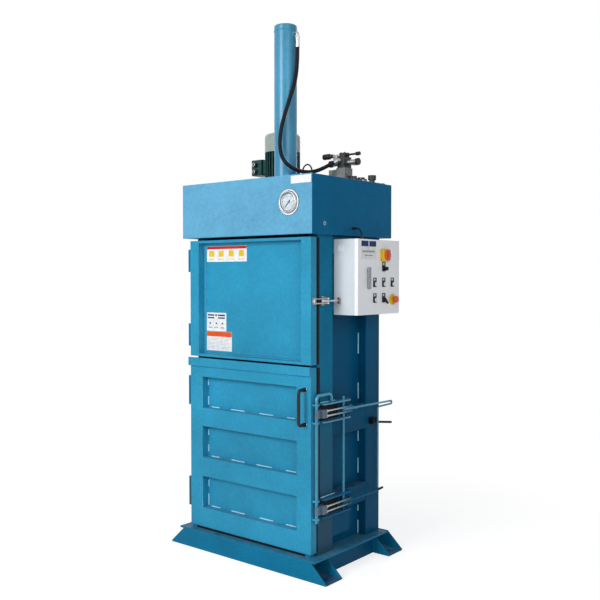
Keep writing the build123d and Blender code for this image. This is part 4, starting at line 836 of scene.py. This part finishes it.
def legend_cards():
    """White cards over the buttons, the selector and the key switch, and a black collar round each."""
    cards = []
    for y, z in DEVICES[:5] + [KEY_SWITCH]:
        card = blank((602.5, 602.9), (y - 11, y + 3), (z + 20, z + 30))
        cards.append(coated(softened(card, 0.15, 1), PLATE_FILM))
        line = blank((602.9, 603.0), (y - 8, y), (z + 24, z + 26))
        cards.append(coated(softened(line, 0.03, 1), GREY_FILM))
        cards.append(coated(ring_blank((607.2, y, z), "X", 12.4, 1.9, 0.8), MATERIALS["black_plastic"]))
    return kept(joined(cards), "legend_cards", "control_fronts")


legend_cards()
marks = [numeral(word, (623.2, SWITCH[0] + aside, SWITCH[1] + 24), 5, "X")
         for word, aside in (("OFF", 23), ("ON", -23))]
kept(joined(marks), "switch_marks", "yellow_plates")
shroud = blank((605, 623), *[(middle - 33.5, middle + 33.5) for middle in SWITCH])
finished(softened(round_corners(shroud, "X", 9), 3.0, 3), "yellow_plastic", "switch_shroud", "yellow_plates")
rotary_cap = softened(set_in(round_blank((626.5, *SWITCH), "X", 27, 9, sides=48), (1, 0, 0), 4, 1.2), 1.5)
kept(coated(rotary_cap, MATERIALS["orange_plastic"]), "switch_cap", "main_switch_knob")
pointer = blank((631.8, 632.5), (SWITCH[0] - 1.4, SWITCH[0] + 1.4), (SWITCH[1] + 18, SWITCH[1] + 22))
kept(coated(softened(pointer, 0.2, 1), PLATE_FILM), "switch_pointer", "main_switch_knob")
for number, place in enumerate(BUTTONS, 1):
    cap = softened(set_in(round_blank((611.2, *place), "X", 9.6, 1.2, sides=40), (1, 0, 0), 2.2, -0.7), 0.3)
    button = f"push_button_{number}"
    finished(cap, SLOT_OF[button], f"button_{number}_cap", button)
key = softened(set_in(blank((611, 624), (116, 118), (1604, 1616)), (0, -1, 0), 2, -0.4), 0.4)
bow = softened(round_blank((621, *KEY_SWITCH), "Y", 11, 5, sides=40), 1.2)
kept(joined([coated(key, MATERIALS["zinc_steel"]), coated(bow, MATERIALS["black_plastic"])]), "switch_key",
     "control_fronts")
finished(ring_blank((603.5, *STOP_BUTTON), "X", 27, 2.0, 0.6), "yellow_plastic", "stop_ring", "yellow_plates")


# Black strips in the door gaps and black pads behind the lock, as painted shade, and blocks beside the valve

# black rubber strips in the gaps beside the doors, standing in for the shade there: painted shade
SHADOW_STRIPS = {
    "lower_shadow_strip": [((434, 446.6), (-272.5, -247), (312, 1093)), ((434, 444.5), (-272.5, -262), (123, 312)),
                   ((-444.7, -434), (-272.5, -266), (123, 1093))],
    "upper_shadow_strip": [((434, 446.6), (-272.5, -252.5), (1109, 1771)), ((-444.7, -434), (-272.5, -266), (1109, 1771))],
}
for name, spans in SHADOW_STRIPS.items():
    strips = [softened(set_in(blank(*span), (0, -1, 0), 2, -0.8), 0.4) for span in spans]
    finished(joined(strips), "black_rubber", name, "corner_posts")
# black strip in the gap under the lower door: painted shade
sill_shadow_strip = softened(set_in(blank((-412, 412), (-318, -300), (108, 120)), (0, -1, 0), 2, -1), 0.6)
finished(sill_shadow_strip, "black_rubber", "sill_shadow_strip", "base_plate")
bushings = [ring_blank((side * 478.2, -249, 1842), "X", 9, 1.8, 0.5) for side in (1, -1)]
finished(joined(bushings), "zinc_steel", "hole_bushings", "head_cover")
# black pads on the post between the lock's bracket plates: painted shade
shadow_pads = [softened(set_in(blank((445, 447.5), (-246, -92), (height - 42, height + 42)), (1, 0, 0), 4, -0.8), 0.6)
        for height in LOCK_HEIGHTS]
finished(joined(shadow_pads), "black_rubber", "lock_shadow_pads", "corner_posts")
side_block = softened(set_in(blank((174, 228), (186, 262), (2102, 2182)), (0, -1, 0), 8, -2), 1.5)
kept(coated(side_block, BLOCK), "return_block", "valve_manifold")
elbow = [softened(round_blank((309, VALVE_MIDDLE, 2128), "X", 13, 42), 1),
         softened(round_blank((330, VALVE_MIDDLE, 2119), "Z", 14, 44), 2),
         softened(round_blank((294, VALVE_MIDDLE, 2128), "X", 20, 12, sides=6), 1),
         softened(round_blank((330, VALVE_MIDDLE, 2106), "Z", 21, 12, sides=6), 1)]
finished(joined(elbow), "cast_black", "return_elbow", "valve_manifold")
hand_knob = round_blank((132, VALVE_MIDDLE, 2267), "X", 17, 46, sides=40)
set_in(hand_knob, (-1, 0, 0), 5, -3)
stem = softened(round_blank((198, VALVE_MIDDLE, 2267), "X", 8, 86), 1)
collar = softened(round_blank((172, VALVE_MIDDLE, 2267), "X", 13, 12, sides=6), 1)
kept(joined([coated(softened(hand_knob, 2), MATERIALS["black_plastic"]), coated(stem, MATERIALS["zinc_steel"]),
             coated(collar, MATERIALS["cast_black"])]), "relief_knob", "directional_valve")


# Cylinder and motor

finished(ring_blank((*CYLINDER, 2968), "Z", 65.6, 2.6, 1.3), "cylinder_blue", "cylinder_seam", "cylinder_barrel")
finished(ring_blank((*CYLINDER, 2093.5), "Z", 67.5, 2.2, 0.8), "black_rubber", "cylinder_collar", "head_cover")
name_plate = softened(set_in(blank((-24, 24), (-0.7, 0.7), (-15, 15)), (0, -1, 0), 2, -0.2), 0.2, 1)
name_plate.data.transform(Matrix.Translation(Vector((MOTOR[0] + 77.4, MOTOR[1] - 77.4, 2230)) * MM)
                          @ Matrix.Rotation(math.radians(45), 4, "Z"))
finished(name_plate, "aluminium_block", "motor_bare_plate", "motor_body")


# Pressure hose, gauge line and cable; the points are those of the routes, in metres

HOSE_ROUTE = [
    (0.088, 0.006, 2.865), (0.088, 0.006, 2.775), (0.087, -0.014, 2.665), (0.071, -0.046, 2.560),
    (0.048, -0.074, 2.452), (0.033, -0.085, 2.352), (0.041, -0.091, 2.268), (0.071, -0.092, 2.212),
    (0.109, -0.068, 2.174), (0.142, -0.022, 2.156), (0.169, 0.036, 2.157), (0.200, 0.092, 2.178),
    (0.236, 0.150, 2.217),
]
LINE_ROUTE = [
    (0.250, -0.151, 2.104), (0.250, -0.151, 2.127), (0.254, -0.151, 2.149), (0.266, -0.150, 2.166),
    (0.283, -0.149, 2.172), (0.300, -0.149, 2.166), (0.312, -0.148, 2.149), (0.316, -0.148, 2.127),
    (0.316, -0.148, 2.104),
]
CABLE_ROUTE = [
    (0.493, 0.003, 1.826), (0.5055, 0.003, 1.826), (0.518, 0.005, 1.821), (0.5265, 0.007, 1.811),
    (0.530, 0.009, 1.7975), (0.530, 0.009, 1.784),
]


def laid_cord(name, node, route, diameter):
    """A hose or cable on one smooth spline, in place of its plain tube."""
    curve = bpy.data.curves.new(name, "CURVE")
    curve.dimensions = "3D"
    spline = curve.splines.new("NURBS")
    spline.points.add(len(route) - 1)
    for point, place in zip(spline.points, route):
        point.co = (*place, 1)
    spline.order_u = 3
    spline.use_endpoint_u = True
    spline.resolution_u = 12
    curve.bevel_depth = diameter / 2
    curve.bevel_resolution = 6
    curve.use_fill_caps = True
    piece = bpy.data.objects.new(name, curve)
    bpy.context.scene.collection.objects.link(piece)
    curve.materials.append(MATERIALS["black_rubber"])
    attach(piece, "root")
    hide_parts(node)
    return piece


laid_cord("pressure_hose", "main_hose", HOSE_ROUTE, 0.022)
laid_cord("gauge_hose", "gauge_line", LINE_ROUTE, 0.008)
laid_cord("control_cable", "box_cable", CABLE_ROUTE, 0.008)


# Studio

def seen_directly(tree):
    """One where the camera, a reflection or a window looks straight at the surface."""
    path = add(tree, "LightPath")
    value = path.outputs["Is Camera Ray"]
    for label in ("Is Glossy Ray", "Is Transmission Ray"):
        value = worked_out(tree, "MAXIMUM", value, path.outputs[label])
    return value


def mix_shaders(tree, factor, first, second):
    """Two shaders mixed by a factor."""
    made = add(tree, "MixShader")
    feed(tree, made.inputs, (factor, first.outputs[0], second.outputs[0]))
    return made


def floor_material():
    """Pale floor that keeps the object's shadow near it and fades to white further out."""
    material = bpy.data.materials.new("Pale floor")
    material.use_nodes = True
    tree = material.node_tree
    plain = tree.nodes["Principled BSDF"]
    plain.inputs["Base Color"].default_value = (0.80, 0.81, 0.82, 1)
    plain.inputs["Roughness"].default_value = 0.9
    matt = add(tree, "BsdfDiffuse", Color=(0.50, 0.50, 0.50, 1))
    glow = add(tree, "Emission", Color=(1, 1, 1, 1), Strength=0.72)
    white = add(tree, "Emission", Color=(1, 1, 1, 1), Strength=1.0)
    near = add(tree, "AddShader")
    feed(tree, near.inputs, (matt.outputs[0], glow.outputs[0]))
    where = add(tree, "TexCoord")
    distance = add(tree, "VectorMath", {"operation": "LENGTH"})
    tree.links.new(where.outputs["Object"], distance.inputs[0])
    shown = mix_shaders(tree, ramp(tree, distance.outputs["Value"], 0.8, 2.2), near, white)
    both = mix_shaders(tree, seen_directly(tree), plain, shown)
    tree.links.new(both.outputs[0], tree.nodes["Material Output"].inputs["Surface"])
    return material


def lamp(name, place, size, power, aim=(0, 0, 1.3)):
    """A soft square lamp that looks at the object."""
    light = bpy.data.lights.new(name, "AREA")
    light.shape = "SQUARE"
    light.size = size
    light.energy = power
    held = bpy.data.objects.new(name, light)
    bpy.context.scene.collection.objects.link(held)
    held.location = place
    held.rotation_mode = "QUATERNION"
    held.rotation_quaternion = (Vector(aim) - Vector(place)).to_track_quat("-Z", "Y")


def studio():
    """Pale floor, soft lamps and the photograph's camera."""
    deselect()
    bpy.ops.mesh.primitive_plane_add(size=40, location=(0, 0, 0))
    floor = bpy.context.object
    floor.name = "studio_floor"
    floor.data.materials.append(floor_material())

    world = bpy.data.worlds.new("Studio")
    bpy.context.scene.world = world
    world.use_nodes = True
    tree = world.node_tree
    backdrop = tree.nodes["Background"]
    backdrop.inputs["Color"].default_value = (0.86, 0.92, 1.0, 1)
    backdrop.inputs["Strength"].default_value = 0.20
    seen = add(tree, "Background", Color=(1, 1, 1, 1), Strength=1.0)
    both = mix_shaders(tree, seen_directly(tree), backdrop, seen)
    tree.links.new(both.outputs[0], tree.nodes["World Output"].inputs["Surface"])

    lamp("Key", (-0.6, -6.6, 3.6), 2.6, 330)
    lamp("Fill", (5.0, -2.6, 3.0), 3.0, 110)
    lamp("Back", (-3.5, 4.5, 4.0), 2.0, 90, aim=(0, 0, 2.2))

    camera = bpy.data.cameras.new("Camera")
    camera.sensor_width = 36
    camera.lens = CAMERA_LENS
    held = bpy.data.objects.new("Camera", camera)
    bpy.context.scene.collection.objects.link(held)
    held.location = CAMERA_PLACE
    held.rotation_euler = (math.radians(90 + CAMERA_PITCH), 0, math.radians(CAMERA_TURN))
    bpy.context.scene.camera = held
    bpy.context.scene.view_settings.view_transform = "Standard"


studio()
